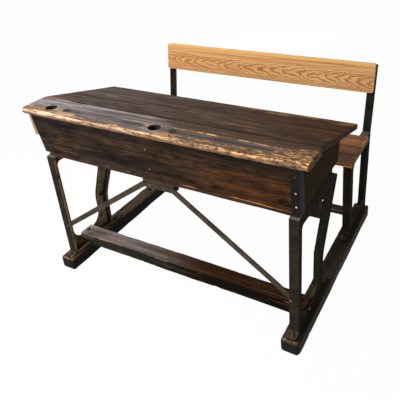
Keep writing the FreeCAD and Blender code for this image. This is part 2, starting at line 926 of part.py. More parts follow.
def pen_ledge():
    """Level ledge with a rounded nosing, two inkwell holes and two pen grooves."""
    points = (
        (ledge_front, ledge_bottom),
        (ledge_front, ledge_top),
        (ledge_rear - seam_chamfer, ledge_top),
        (ledge_rear, ledge_top - seam_chamfer),
        (ledge_rear, ledge_bottom),
    )
    nose = ledge_thickness * nosing_share
    ledge = prism(rounded_outline(points, (nose, nose, 0, 0, 0), -ledge_end_x), 2 * ledge_end_x)
    y = ledge_front + inkwell_setback
    tools = knuckle_grooves()
    through = ledge_thickness + 2 * overrun
    for x in inkwell_places:
        tools.append(rod(inkwell_radius, V(x, y, ledge_bottom - overrun), V(0, 0, 1), through))
        tools.append(pen_groove(x + pen_groove_start, y))
    tools += hinge_screw_bores(V(0, -1, 0))
    plan = box(-ledge_end_x, ledge_end_x, ledge_front, ledge_rear, ledge_bottom, ledge_top)

    def front_corner(edge):
        return runs_along(edge, 2) and edge.CenterOfMass.y < hinge_y - ledge_depth / 2

    return ledge.common(soften(plan, ledge_corner_round, front_corner)).cut(tools)


def pen_groove(x, y):
    """Cutter for a round-ended hollow along the ledge."""
    z = ledge_top + pen_groove_radius - pen_groove_sink
    ball = Part.makeSphere(pen_groove_radius, V(x, y, z))
    far = ball.translated(V(pen_groove_length, 0, 0))
    return rod(pen_groove_radius, V(x, y, z), V(1, 0, 0), pen_groove_length).fuse([ball, far])


def ledge_cleat_left():
    """Block on the left end panel under the ledge's overhang, let in round the front panel's end."""
    low, high = front_line(0)
    lean_low = crossing(low, (-front_slope, 1), (0, ledge_bottom - cleat_height), (1, 0))
    points = (
        lean_low,
        high,
        (high[0] + cleat_length, ledge_bottom),
        (high[0] + cleat_length, ledge_bottom - cleat_height),
    )
    return slab(points, -(ledge_end_x - cleat_end_inset), -box_end_x).cut(front_board())


def hinge_segment(index):
    """Start and length of one knuckle along a hinge, from the hinge's middle."""
    pitch = hinge_length / knuckle_count
    return index * pitch - hinge_length / 2 + knuckle_gap / 2, pitch - knuckle_gap


def hinge_leaf_solid(x, y0, y1, segments):
    """One leaf: its plate hangs in the seam, and its own knuckles stand on short necks."""
    top = hinge_z - knuckle_radius - knuckle_clearance
    plate = box(x - hinge_length / 2, x + hinge_length / 2, y0, y1, hinge_z - hinge_leaf_height, top)
    added = []
    bores = []
    for index in segments:
        start, length = hinge_segment(index)
        added.append(box(x + start, x + start + length, y0, y1, top, hinge_z))
        bar = hinge_axis(start, length)
        added.append(bar(x, knuckle_radius))
        bores.append(bar(x, hinge_pin_radius + pin_clearance))
    return plate.fuse(added).removeSplitter().cut(bores)


def hinge_screw_seats():
    """X and Z places of the screws in one leaf."""
    z = hinge_z - (hinge_leaf_height + knuckle_radius + knuckle_clearance) / 2
    half = hinge_screw_spacing / 2
    return [(x + shift, z) for x in hinge_places for shift in (-half, half)]


def hinge_screw_bores(way):
    """Cutters for the hinge screws' shanks in the ledge or the lid, along one direction."""
    face = ledge_rear if way.y < 0 else lid_front
    tools = []
    for x, z in hinge_screw_seats():
        tools.append(bore(V(x, face, z), way, hinge_screw_bite, hinge_screw_radius))
    return tools


def hinge_screws(way):
    """Screws of three leaves, their heads let into the plates."""
    face = ledge_rear if way.y < 0 else lid_front
    inner = face - way.y * (hinge_leaf - hinge_screw_head)
    length = hinge_screw_bite + hinge_leaf - hinge_screw_head
    sizes = (length, hinge_screw_radius, hinge_screw_head_radius, hinge_screw_head)
    screws = [screw(V(x, inner, z), way, *sizes) for x, z in hinge_screw_seats()]
    return Part.makeCompound(screws)


def hinge_leaves(way):
    """Three leaves on the ledge's edge or on the lid's, with their screw holes."""
    on_ledge = way.y < 0
    face = ledge_rear if on_ledge else lid_front
    y0, y1 = sorted((face, face - way.y * hinge_leaf))
    segments = range(0, knuckle_count, 2) if on_ledge else range(1, knuckle_count, 2)
    tools = []
    for x, z in hinge_screw_seats():
        outer = V(x, face - way.y * (hinge_leaf + overrun), z)
        tools.append(rod(hinge_screw_radius + fastener_clearance, outer, way, hinge_leaf + 2 * overrun))
        sink = hinge_screw_head + overrun
        tools.append(rod(hinge_screw_head_radius + fastener_clearance, outer, way, sink))
    leaves = [hinge_leaf_solid(x, y0, y1, segments).cut(tools) for x in hinge_places]
    return Part.makeCompound(leaves)


def hinge_pins():
    """Pins through the knuckles, one for each hinge."""
    bar = hinge_axis(-hinge_length / 2, hinge_length)
    return Part.makeCompound([bar(x, hinge_pin_radius) for x in hinge_places])


def lid_board(start, end, first, last):
    """One board of the lid between two places along its slope."""
    lean = math.tan(slope)
    top_start = start + seam_chamfer if first else start
    points = [lid_point(top_start, 0), lid_point(end, 0), lid_point(end, lid_thickness)]
    radii = [0, lid_round if last else 0, lid_round if last else 0]
    if first:
        points.append(lid_point(lid_thickness * lean, lid_thickness))
        points.append(lid_point(seam_chamfer * lean, seam_chamfer))
        radii += [0, 0]
    else:
        points.append(lid_point(start, lid_thickness))
        radii.append(0)
    board = prism(rounded_outline(points, radii, -lid_end_x), 2 * lid_end_x)
    tools = batten_screw_bores()
    if first:
        tools += knuckle_grooves() + hinge_screw_bores(V(0, 1, 0))
    return board.cut(tools)


def lid_boards():
    """Front, middle and back boards of the lid, edge to edge."""
    stops = [0] + [share * lid_length for share in lid_board_shares] + [lid_length]
    names = ("lid_front_board", "lid_middle_board", "lid_back_board")
    boards = {}
    for i, name in enumerate(names):
        boards[name] = lid_board(stops[i], stops[i + 1], i == 0, i == len(names) - 1)
    return boards


def batten_x(side):
    """Middle of a lid batten across the desk."""
    return side * batten_place_share * lid_end_x


def batten_screw_seats(side):
    """Seats of the screws up through a batten, on its lower face."""
    seats = []
    for share in batten_screw_shares:
        y, z = lid_point(batten_start + share * batten_length, lid_thickness + batten_thickness)
        seats.append(V(batten_x(side), y, z))
    return seats


def lid_up():
    """Direction square to the lid, upwards."""
    return V(0, math.sin(slope), math.cos(slope))


def batten_screw_bores():
    """Cutters for the batten screws' shanks."""
    tools = []
    for _, side in SIDES:
        seats = batten_screw_seats(side)
        tools += [bore(seat, lid_up(), batten_screw_length(), batten_screw_radius) for seat in seats]
    return tools


def lid_batten(side):
    """Batten screwed across the lid's boards from below, inside a compartment."""
    start, end = batten_start, batten_start + batten_length
    low = lid_thickness + batten_thickness
    points = (
        lid_point(start, lid_thickness),
        lid_point(end, lid_thickness),
        lid_point(end, low),
        lid_point(start, low),
    )
    radii = (0, 0, batten_round, batten_round)
    left = batten_x(side) - batten_width / 2
    return prism(rounded_outline(points, radii, left), batten_width).cut(batten_screw_bores())


def batten_screw_length():
    """Length of a batten screw, through the batten and into the lid."""
    return batten_thickness + batten_bite_share * lid_thickness


def batten_screws():
    """All the screws of both lid battens."""
    sizes = (batten_screw_length(), batten_screw_radius, batten_screw_head_radius, batten_screw_head)
    return both_sides(batten_screw_seats, lambda seat: screw(seat, lid_up(), *sizes))


def both_sides(seats_of, make):
    """Compound of the fasteners that a function makes at both sides' seats."""
    return Part.makeCompound([make(seat) for _, side in SIDES for seat in seats_of(side)])


def foot_bolts(seats_of, washers):
    """Bolts that hold a pair of castings to the runners, each with its own washer."""
    solids = []
    for _, side in SIDES:
        for seat, washer in zip(seats_of(side), washers):
            solids.append(bolt(seat, V(0, 0, -1), bolt_length, washer))
    return Part.makeCompound(solids)


def plain_screw(way, length):
    """Maker of a common wood screw along one direction."""
    return lambda seat: screw(seat, way, length, screw_radius, screw_head_radius, screw_head_height)


def box_screws():
    """Screws that hold the box to the standards from below."""
    solids = []
    for _, side in SIDES:
        for seat, through in zip(box_screw_seats(side), (casting_flange, lug_pad)):
            solids.append(plain_screw(V(0, 0, 1), through + floor_bite_share * bottom_board)(seat))
    return Part.makeCompound(solids)


def back_screws():
    """Screws through the posts into the back."""
    solids = []
    for _, side in SIDES:
        seats, way = back_screw_seats(side)
        solids += [plain_screw(way, back_screw_length())(seat) for seat in seats]
    return Part.makeCompound(solids)


def brace_screws():
    """Screws through the brace's flat top into its block."""
    make = plain_screw(V(0, 1, 0), brace_thickness + board_bite_share * block_depth)
    return Part.makeCompound([make(seat) for seat in brace_screw_seats()])


def brace_bolts():
    """Bolts through the legs' flanges and the brace's ends, with nuts behind."""
    grip = casting_flange + brace_thickness
    solids = []
    for _, side in SIDES:
        seat = brace_bolt_seat(side)
        way = V(0, 1, 0)
        pin = screw(seat, way, grip, brace_bolt_radius, brace_bolt_head_radius, brace_bolt_head_height)
        nut = hexagon(seat + way * grip, way, brace_bolt_head_radius, brace_nut_height)
        solids.append(pin.fuse(nut).removeSplitter())
    return Part.makeCompound(solids)


def rail_bolts():
    """Bolts through the standards' webs into the foot rail, each with its nut in the rail's notch."""
    solids = []
    for _, side in SIDES:
        way = V(-side, 0, 0)
        seat = rail_bolt_seat(side)
        head = hexagon(seat, way * -1, bolt_head_radius, bolt_head_height)
        nut = hexagon(seat + way * (casting_web + rail_notch_inset), way, bolt_head_radius, rail_nut_height)
        shank = rod(rail_bolt_radius, seat, way, rail_bolt_length())
        solids.append(shank.fuse([head, nut]).removeSplitter())
    return Part.makeCompound(solids)


def nails(seats):
    """Round-headed nails in the front panel at the given seats."""
    sizes = (nail_length, nail_radius, nail_head_radius, nail_head_height)
    return Part.makeCompound([screw(seat, into_front(), *sizes) for seat in seats])


def build():
    """Every piece of the desk by its name."""
    pieces = {}
    for name, side in SIDES:
        pieces["runner_" + name] = runner(side)
        pieces["desk_standard_" + name] = desk_standard(side)
        pieces["bench_standard_" + name] = bench_standard(side)
        pieces["box_end_" + name] = box_end(side)
        pieces["lid_batten_" + name] = lid_batten(side)
    pieces["foot_rail"] = foot_rail()
    pieces["rear_stretcher"] = rear_stretcher()
    pieces["cross_brace"] = cross_brace()
    pieces["brace_block"] = brace_block()
    pieces["box_front_panel"] = box_front_panel()
    pieces["box_back_panel"] = box_back_panel()
    pieces["box_divider"] = box_divider()
    pieces["box_bottom_board"] = box_bottom_board()
    pieces["pen_ledge"] = pen_ledge()
    pieces["ledge_cleat_left"] = ledge_cleat_left()
    pieces["corner_strap_right"] = corner_strap_right()
    pieces["seat_plank"] = seat_plank()
    pieces["backrest_plank"] = backrest_plank()
    pieces.update(lid_boards())
    pieces["hinge_ledge_leaves"] = hinge_leaves(V(0, -1, 0))
    pieces["hinge_lid_leaves"] = hinge_leaves(V(0, 1, 0))
    pieces["hinge_pins"] = hinge_pins()
    pieces["hinge_ledge_screws"] = hinge_screws(V(0, -1, 0))
    pieces["hinge_lid_screws"] = hinge_screws(V(0, 1, 0))
    pieces["lid_batten_screws"] = batten_screws()
    wide = bolt_washer_radius
    pieces["standard_foot_bolts"] = foot_bolts(standard_foot_seats, (wide, wide))
    pieces["bench_foot_bolts"] = foot_bolts(bench_foot_seats, (wide, bolt_head_radius))
    pieces["box_screws"] = box_screws()
    pieces["seat_screws"] = both_sides(seat_screw_seats, plain_screw(V(0, 0, 1), seat_screw_length()))
    pieces["back_screws"] = back_screws()
    pieces["brace_bolts"] = brace_bolts()
    pieces["brace_screws"] = brace_screws()
    pieces["foot_rail_bolts"] = rail_bolts()
    pieces["strap_nails"] = nails(strap_nail_seats())
    pieces["divider_nails"] = nails(divider_nail_seats())
    return pieces


def main():
    """Build the desk and write one file for each piece."""
    os.makedirs("parts", exist_ok=True)
    for name, shape in build().items():
        shape.exportStep("parts/" + name + ".step")
        low, high = shape.BoundBox.ZMin, shape.BoundBox.ZMax
        print(name, len(shape.Solids), shape.isValid(), round(shape.Volume), round(low, 1), round(high, 1))


main()
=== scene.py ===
"""Looks of a two-seat school desk with a lift lid: worn boards, old castings and a plain white studio.

Lengths are in metres. X runs along the desk, the bench stands towards +Y and Z is up from the floor.
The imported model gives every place; the pieces made here stand for its nodes.
"""
import json
import logging
import math
from dataclasses import dataclass, field
from enum import Enum, IntEnum
from typing import Any, Callable, Optional, Sequence, Union

import bmesh
import bpy
import numpy as np
from mathutils import Matrix, Vector


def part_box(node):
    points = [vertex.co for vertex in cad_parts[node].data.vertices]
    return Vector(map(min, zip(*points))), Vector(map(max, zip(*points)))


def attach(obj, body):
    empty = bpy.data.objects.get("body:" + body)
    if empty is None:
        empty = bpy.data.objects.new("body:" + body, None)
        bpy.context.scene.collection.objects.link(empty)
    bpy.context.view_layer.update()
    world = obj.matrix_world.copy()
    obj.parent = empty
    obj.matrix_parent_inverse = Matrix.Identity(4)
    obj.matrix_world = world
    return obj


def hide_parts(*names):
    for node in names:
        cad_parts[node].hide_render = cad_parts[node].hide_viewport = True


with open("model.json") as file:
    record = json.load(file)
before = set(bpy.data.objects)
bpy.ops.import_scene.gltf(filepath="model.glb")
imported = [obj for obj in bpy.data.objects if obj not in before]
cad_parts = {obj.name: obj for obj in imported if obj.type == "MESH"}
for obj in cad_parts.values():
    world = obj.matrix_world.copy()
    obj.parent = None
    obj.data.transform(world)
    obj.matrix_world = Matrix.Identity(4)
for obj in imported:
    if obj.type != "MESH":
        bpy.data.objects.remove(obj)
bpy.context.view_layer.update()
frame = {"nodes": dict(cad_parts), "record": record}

log = logging.getLogger("desk")
Array = np.ndarray
Colour = tuple[float, float, float]
Places = Callable[[Array], Array]
SIDES = ("left", "right")
WHITE = (1.0, 1.0, 1.0, 1.0)


class Body(Enum):
    """The bodies that pieces ride on."""

    DESK = "desk"
    LID = "lid"


class Slot(Enum):
    """The record's material slots."""

    DARK_WOOD = "dark_wood"
    TAN_WOOD = "tan_wood"
    RUNNER_WOOD = "runner_wood"
    SEAT_WOOD = "seat_wood"
    PINE = "pine"
    CAST_IRON = "cast_iron"
    FLAT_IRON = "flat_iron"
    STEEL = "steel"


class Grain(Enum):
    """Axis that a board's grain follows, with the order that turns its coordinates to grain first."""

    ALONG_X = (0, 1, 2)
    ALONG_Y = (1, 0, 2)
    ALONG_Z = (2, 0, 1)


class Draw(IntEnum):
    """Steps from a board's seed to the seeds of its ripples."""

    SWELL = 0
    CHIP = 31
    WEAR = 50
    SINK = 71


def paint(colour: Sequence[float]) -> tuple[float, ...]:
    """Linear colour of a display colour.

    Args:
        colour: Red, green and blue as displayed, from 0 to 255.

    Returns:
        The colour as linear red, green, blue and full opacity.
    """
    share = np.array(colour) / 255
    linear = np.where(share <= 0.04045, share / 12.92, ((share + 0.055) / 1.055) ** 2.4)
    return (*linear.tolist(), 1.0)


def ease(value: Array, low: float, high: float) -> Array:
    """Smooth step: 0 below low, 1 above high, and 3t^2 - 2t^3 between them."""
    share = np.clip((value - low) / (high - low), 0, 1)
    return share * share * (3 - 2 * share)


def bell(value: Array, width: Union[Array, float]) -> Array:
    """Bell curve: 1 at 0, falling as e to the power of minus the square of value over width."""
    return np.exp(-((value / width) ** 2))


@dataclass(frozen=True)
class Ripple:
    """Smooth seeded noise: a sum of cosine waves of random direction and phase.

    Each octave's waves are half as long and half as high as the last one's, and the sum stays near -1 to 1.
    """

    seed: int
    size: float
    octaves: int = 3
    waves: int = 5

    def over(self, u: Array, v: Array) -> Array:
        """Noise over a plane.

        Args:
            u: First coordinate.
            v: Second coordinate, of a shape that broadcasts with the first.

        Returns:
            The noise at each point.
        """
        chance = np.random.default_rng(self.seed)
        total = np.zeros(np.broadcast(u, v).shape)
        power = 0.0
        for octave in range(self.octaves):
            pitch = 2 * np.pi * 2**octave / self.size
            height = 0.5**octave
            turns = chance.uniform(0, 2 * np.pi, self.waves)
            phases = chance.uniform(0, 2 * np.pi, self.waves)
            for turn, phase in zip(turns, phases):
                total = total + height * np.cos(pitch * (u * np.cos(turn) + v * np.sin(turn)) + phase)
            power += self.waves * height**2 / 2
        return total / (2 * math.sqrt(power))

    def along(self, u: Array) -> Array:
        """Noise along a line of places u."""
        return self.over(u, np.zeros_like(u))


def store(mesh: bpy.types.Mesh, label: str, value: Array, domain: str = "POINT") -> None:
    """Keeps a number or a vector at each point or face of a mesh.

    Args:
        mesh: Mesh to change.
        label: Name that a finish reads it by.
        value: One number, or one row of three, for each point or face.
        domain: Whether points or faces keep it.
    """
    vector = value.ndim == 2
    layer = mesh.attributes.new(label, "FLOAT_VECTOR" if vector else "FLOAT", domain)
    layer.data.foreach_set("vector" if vector else "value", value.astype(np.float32).ravel())


def fetch(items: Any, label: str) -> Array:
    """Vectors that a mesh's points or faces have, one row each.

    Args:
        items: The mesh's points or faces.
        label: Name of the vector.

    Returns:
        The rows.
    """
    flat = np.zeros(len(items) * 3, np.float32)
    items.foreach_get(label, flat)
    return flat.reshape(-1, 3)


@dataclass
class Surface:
    """Points and faces of a piece, with the values that its finish reads at each point."""

    points: Array
    faces: list[Array]
    values: dict[str, Array] = field(default_factory=dict)

    def wear(self, kept: float, more: Union[Array, float]) -> None:
        """Sets the wear to the larger of a share of what it was and more of it."""
        self.values["wear"] = np.maximum(kept * self.values["wear"], more)

    def joined(self, other: "Surface") -> "Surface":
        """Both surfaces as one; a value that one of them lacks is 0 there.

        Args:
            other: The surface to add.

        Returns:
            The joined surface.
        """
        count, more = len(self.points), len(other.points)
        values = {}
        for name in sorted(set(self.values) | set(other.values)):
            known = self.values.get(name, other.values.get(name))
            mine = self.values.get(name, np.zeros((count, *known.shape[1:])))
            theirs = other.values.get(name, np.zeros((more, *known.shape[1:])))
            values[name] = np.concatenate((mine, theirs))
        points = np.concatenate((self.points, other.points))
        return Surface(points, self.faces + [face + count for face in other.faces], values)

    def mesh(self, name: str, weld: float = 2e-6) -> bpy.types.Mesh:
        """Mesh of the surface, with doubles merged and faces turned outwards.

        Args:
            name: Name of the mesh.
            weld: Distance within which points become one.

        Returns:
            The mesh, with its values as point attributes.
        """
        mesh = bpy.data.meshes.new(name)
        corners = np.concatenate([face.ravel() for face in self.faces]).astype(np.int32)
        sizes = np.concatenate([np.full(len(face), face.shape[1]) for face in self.faces])
        starts = np.concatenate(([0], np.cumsum(sizes)[:-1])).astype(np.int32)
        mesh.vertices.add(len(self.points))
        mesh.vertices.foreach_set("co", self.points.astype(np.float32).ravel())
        mesh.loops.add(len(corners))
        mesh.loops.foreach_set("vertex_index", corners)
        mesh.polygons.add(len(sizes))
        mesh.polygons.foreach_set("loop_start", starts)
        mesh.update(calc_edges=True)
        for label, value in self.values.items():
            store(mesh, label, value)
        tidy_mesh(mesh, weld)
        return mesh


def tidy_mesh(mesh: bpy.types.Mesh, weld: float, flatten: float = 0.0) -> None:
    """Merges doubles, drops faces without area and turns the faces outwards.

    Args:
        mesh: Mesh to change.
        weld: Distance within which points become one.
        flatten: Angle under which neighbouring faces become one face; 0 leaves them.
    """
    work = bmesh.new()
    work.from_mesh(mesh)
    bmesh.ops.remove_doubles(work, verts=work.verts[:], dist=weld)
    bmesh.ops.dissolve_degenerate(work, edges=work.edges[:], dist=weld)
    if flatten:
        bmesh.ops.dissolve_limit(work, angle_limit=flatten, verts=work.verts[:], edges=work.edges[:])
    bmesh.ops.recalc_face_normals(work, faces=work.faces[:])
    work.to_mesh(mesh)
    work.free()


def rings(rows: int, columns: int) -> Array:
    """Corner numbers of the squares of a grid of points whose rows close on themselves.

    Args:
        rows: Points down the grid.
        columns: Points round it.

    Returns:
        One row of four corner numbers for each square, row by row.
    """
    row, column = np.meshgrid(np.arange(rows - 1), np.arange(columns), indexing="ij")
    near, far = row * columns, (row + 1) * columns
    step = (column + 1) % columns
    return np.stack((near + column, near + step, far + step, far + column), axis=-1).reshape(-1, 4)


@dataclass
class Lay:
    """Where a board lies: the place of its middle, and the ways of its length and width."""

    middle: Vector
    along: Vector = field(default_factory=lambda: Vector((1, 0, 0)))
    across: Vector = field(default_factory=lambda: Vector((0, 1, 0)))

    def __call__(self, points: Array) -> Array:
        """Points of the board's own frame in the desk's: middle + x along + y across + z up."""
        turn = np.array((self.along, self.across, self.along.cross(self.across)))
        return np.array(self.middle) + points @ turn


@dataclass
class Board:
    """A worn plank: a rounded rectangle carried along its length.

    The long edges' rounding swells and chips along the board, the ends are quarter rounds, and the faces
    sink by a little ripple, so that nothing stands outside the squared plank. The side faces of a butted
    board stay flat, so that it closes against its neighbour.
    """

    length: float
    width: float
    thickness: float
    seed: int
    edge: float = 0.003
    edges: Optional[tuple[float, float, float, float]] = None
    swell: float = 0.45
    swell_size: float = 0.22
    chip: float = 0.004
    chip_size: float = 0.11
    chip_level: float = 0.62
    least_round: float = 0.0006
    most_round: float = 0.47
    end_round: float = 0.002
    end_radius: float = 0.0004
    plan_round: tuple[float, float] = (0.0, 0.0)
    plan_start: float = 0.35
    plan_steps: int = 6
    dish: float = 0.0005
    sink_size: float = 0.12
    sink_stretch: float = 5.0
    butted: bool = False
    wear_reach: float = 0.007
    wear_size: float = 0.15
    wear_swell: float = 0.7
    least_wear: float = 0.15
    end_wear: float = 0.8
    end_reach: float = 1.3
    cap_wear: float = 0.3
    pitch: float = 0.009
    cuts: Optional[Array] = None
    cut_margin: float = 0.02
    stops: Sequence[float] = ()
    stop_clearance: float = 0.25
    cross_pitch: float = 0.012
    side_pitch: float = 0.006
    arc_steps: int = 6
    cap_steps: int = 3
    end_steps: int = 5
    grain_shift: tuple[float, float] = (3.7, 0.37)

    def shift(self) -> Array:
        """Where the board's grain coordinates start, so that no two boards share their grain."""
        return np.array((*self.grain_shift, 0.0)) * self.seed

    def stations(self) -> tuple[Array, Array]:
        """Places along the board and the section's inset at each, a quarter round at both ends.

        Returns:
            The places from the board's middle, and the insets.
        """
        turn = np.linspace(0, np.pi / 2, self.end_steps)
        run, inset = self.end_round * (1 - np.cos(turn)), self.end_round * (1 - np.sin(turn))
        half = self.length / 2
        inner = half - self.end_round
        count = max(int(2 * inner / self.pitch), 2)
        middle = np.linspace(-inner, inner, count + 1)[1:-1]
        bend = np.linspace(self.plan_start, np.pi / 2, self.plan_steps)
        near = half - max(self.plan_round) * (1 - np.cos(bend))
        near = near[near < inner]
        middle = np.concatenate((middle, near, -near))
        if len(self.stops):
            away = np.abs(middle[:, None] - np.array(self.stops)).min(axis=1)
            middle = np.concatenate((middle[away > self.stop_clearance * self.pitch], self.stops))
        middle = np.unique(middle)
        places = np.concatenate((run - half, middle, half - run[::-1]))
        return places, np.concatenate((inset, np.zeros(len(middle)), inset[::-1]))

    def roundings(self, x: Array) -> Array:
        """Rounding of the four long edges: a mean, swollen by a ripple, and chipped where another is high.

        Args:
            x: Places along the board.

        Returns:
            Four rows of radii, from the high edge of the far side round to the low edge of the far side.
        """
        rows = []
        for corner, mean in enumerate(self.edges or (self.edge,) * 4):
            wave = Ripple(self.seed + Draw.SWELL + corner, self.swell_size, 4).along(x)
            peak = Ripple(self.seed + Draw.CHIP + corner, self.chip_size).along(x) - self.chip_level
            rows.append(mean * (1 + self.swell * wave) + self.chip * np.clip(peak, 0, None))
        return np.clip(rows, self.least_round, self.most_round * self.thickness)

    @staticmethod
    def strip(y: Array, z: Array, turn: Union[Array, float]) -> Array:
        """Part of a section: places y and z, and the outward y and z at an angle turn, in one shape."""
        return np.stack((y, z, np.cos(turn) + 0 * y, np.sin(turn) + 0 * y))

    def sections(self) -> tuple[Array, Array, Array, Array, Array]:
        """Closed section at each station: four quarter rounds joined by straight runs.

        Returns:
            Arrays over stations and loop points of x, y and z, and of the outward y and z.
        """
        x, inset = self.stations()
        gap = self.length / 2 - np.abs(x)
        low, high = (self.plan_inset(gap, reach) for reach in self.plan_round)
        low_y = (-self.width / 2 + inset + low)[:, None]
        high_y = (self.width / 2 - inset - high)[:, None]
        half_z = (self.thickness / 2 - inset)[:, None]
        arcs = []
        radii = np.maximum(self.roundings(x) - inset, self.end_radius)
        for corner, radius in enumerate(radii[..., None]):
            turn = np.linspace(corner, corner + 1, self.arc_steps) * np.pi / 2
            centre_y = high_y - radius if corner in (0, 3) else low_y + radius
            centre_z = (half_z - radius) * (1 if corner < 2 else -1)
            arcs.append(self.strip(centre_y + radius * np.cos(turn), centre_z + radius * np.sin(turn), turn))
        parts = []
        for corner, arc in enumerate(arcs):
            (start_y, start_z), (end_y, end_z) = arc[:2, :, -1:], arcs[(corner + 1) % 4][:2, :, :1]
            if corner % 2 == 0:
                run_y = self.flat_places(start_y, end_y)
                share = (run_y - start_y) / (end_y - start_y)
            else:
                share = np.linspace(0, 1, max(int(self.thickness / self.side_pitch), 1) + 2)[1:-1]
                run_y = start_y + share * (end_y - start_y)
            run_z = start_z + share * (end_z - start_z)
            parts += [arc, self.strip(run_y, run_z, (corner + 1) * np.pi / 2)]
        y, z, out_y, out_z = np.concatenate(parts, axis=2)
        return np.broadcast_to(x[:, None], y.shape), y, z, out_y, out_z

    def plan_inset(self, gap: Array, reach: float) -> Array:
        """How far a side draws in near the ends, as a quarter round of radius reach at a gap from the end."""
        inner = np.clip(reach - gap, 0, reach)
        return reach - np.sqrt(np.maximum(reach**2 - inner**2, 0))

    def flat_places(self, start: Array, end: Array) -> Array:
        """Places across a wide face, either evenly spread or at the board's own cuts.

        Args:
            start: Where the face starts at each station.
            end: Where it ends.

        Returns:
            One row of places for each station, without the two ends.
        """
        if self.cuts is None:
            count = max(int(self.width / self.cross_pitch), 2)
            return start + np.linspace(0, 1, count + 2)[1:-1] * (end - start)
        ordered = self.cuts if (end > start).all() else self.cuts[::-1]
        low, high = np.minimum(start, end), np.maximum(start, end)
        margin = self.cut_margin * (high - low)
        return np.clip(np.broadcast_to(ordered, (len(start), len(ordered))), low + margin, high - margin)

    def sink(self, x: Array, y: Array, z: Array) -> Array:
        """Depth of the ripple in the faces: long along the grain and short across it."""
        wave = Ripple(self.seed + Draw.SINK, self.sink_size).over(x / self.sink_stretch, y + z)
        return self.dish * (0.5 + 0.5 * np.clip(wave, -1, 1))

    def build(self, lay: Places, carve: Optional[Places] = None) -> Surface:
        """Surface of the board, closed at both ends.

        Args:
            lay: Turns places in the board's frame into places on the desk.
            carve: Takes the board's points and gives them with hollows cut.

        Returns:
            The surface, with grain coordinates, wear and end grain as values.
        """
        x, y, z, out_y, out_z = self.sections()
        depth = self.sink(x, y, z)
        side = 0.0 if self.butted else 1.0
        grid = np.stack((x, y - side * depth * out_y, z - depth * out_z), axis=-1)
        if carve:
            grid = carve(grid)
        grid = np.concatenate((self.cap(grid[0])[::-1], grid, self.cap(grid[-1])))
        count = self.cap_steps
        wear = np.pad(self.wear(x, y, z), ((count, count), (0, 0)), "edge")
        wear[:count] *= self.cap_wear
        wear[-count:] *= self.cap_wear
        ends = np.zeros_like(wear)
        ends[: count + 2] = 1
        ends[-count - 2 :] = 1
        flat = grid.reshape(-1, 3)
        values = {"grain": flat + self.shift(), "wear": wear.ravel(), "end": ends.ravel()}
        return Surface(lay(flat), [rings(*grid.shape[:2])], values)

    def cap(self, ring: Array) -> Array:
        """Rings that close an end: the end ring drawn in step by step to the line along its middle.

        Args:
            ring: The end ring.

        Returns:
            The rings from the outermost one inwards.
        """
        middle = ring.mean(axis=0)
        reach = max(np.ptp(ring[:, 1]) - np.ptp(ring[:, 2]), 0) / 2
        core = ring.copy()
        core[:, 1] = np.clip(ring[:, 1], middle[1] - reach, middle[1] + reach)
        core[:, 2] = middle[2]
        return ring + np.linspace(0, 1, self.cap_steps + 1)[1:, None, None] * (core - ring)

    def wear(self, x: Array, y: Array, z: Array) -> Array:
        """Wear of the edges and ends: a bell curve of the distance to them, of rippled width.

        Args:
            x: Places along the board.
            y: Places across it.
            z: Places up from its middle.

        Returns:
            The wear, from 0 to 1.
        """
        to_edge = np.hypot(self.width / 2 - np.abs(y), self.thickness / 2 - np.abs(z))
        ripples = [Ripple(self.seed + Draw.WEAR + corner, self.wear_size) for corner in range(4)]
        waves = [1 + self.wear_swell * ripple.along(x) for ripple in ripples]
        reach = self.wear_reach * np.clip(np.choose(2 * (y > 0) + (z > 0), waves), self.least_wear, None)
        ends = self.end_wear * bell(self.length / 2 - np.abs(x), self.end_reach * self.wear_reach)
        return np.maximum(bell(to_edge, reach), ends)


class Sock:
    """An output of a node that can be used in expressions."""

    def __init__(self, tree: "Tree", socket: Optional[bpy.types.NodeSocket]) -> None:
        """Wraps a socket of a tree."""
        self.tree = tree
        self.socket = socket

    def maths(self, operation: str, first: "Value", second: "Value") -> "Sock":
        """Math node on two values."""
        return self.tree.node("ShaderNodeMath", {"operation": operation}, {0: first, 1: second})

    def __add__(self, other: "Value") -> "Sock":
        """Sum."""
        return self.maths("ADD", self, other)

    def __radd__(self, other: "Value") -> "Sock":
        """Reflected sum."""
        return self.maths("ADD", other, self)

    def __sub__(self, other: "Value") -> "Sock":
        """Difference."""
        return self.maths("SUBTRACT", self, other)

    def __rsub__(self, other: "Value") -> "Sock":
        """Reflected difference."""
        return self.maths("SUBTRACT", other, self)

    def __mul__(self, other: "Value") -> "Sock":
        """Product."""
        return self.maths("MULTIPLY", self, other)

    def __rmul__(self, other: "Value") -> "Sock":
        """Reflected product."""
        return self.maths("MULTIPLY", other, self)

    def __abs__(self) -> "Sock":
        """Distance from 0."""
        return self.maths("ABSOLUTE", self, 0.0)


Value = Union[Sock, float]
Input = Union[Sock, float, Sequence[float]]


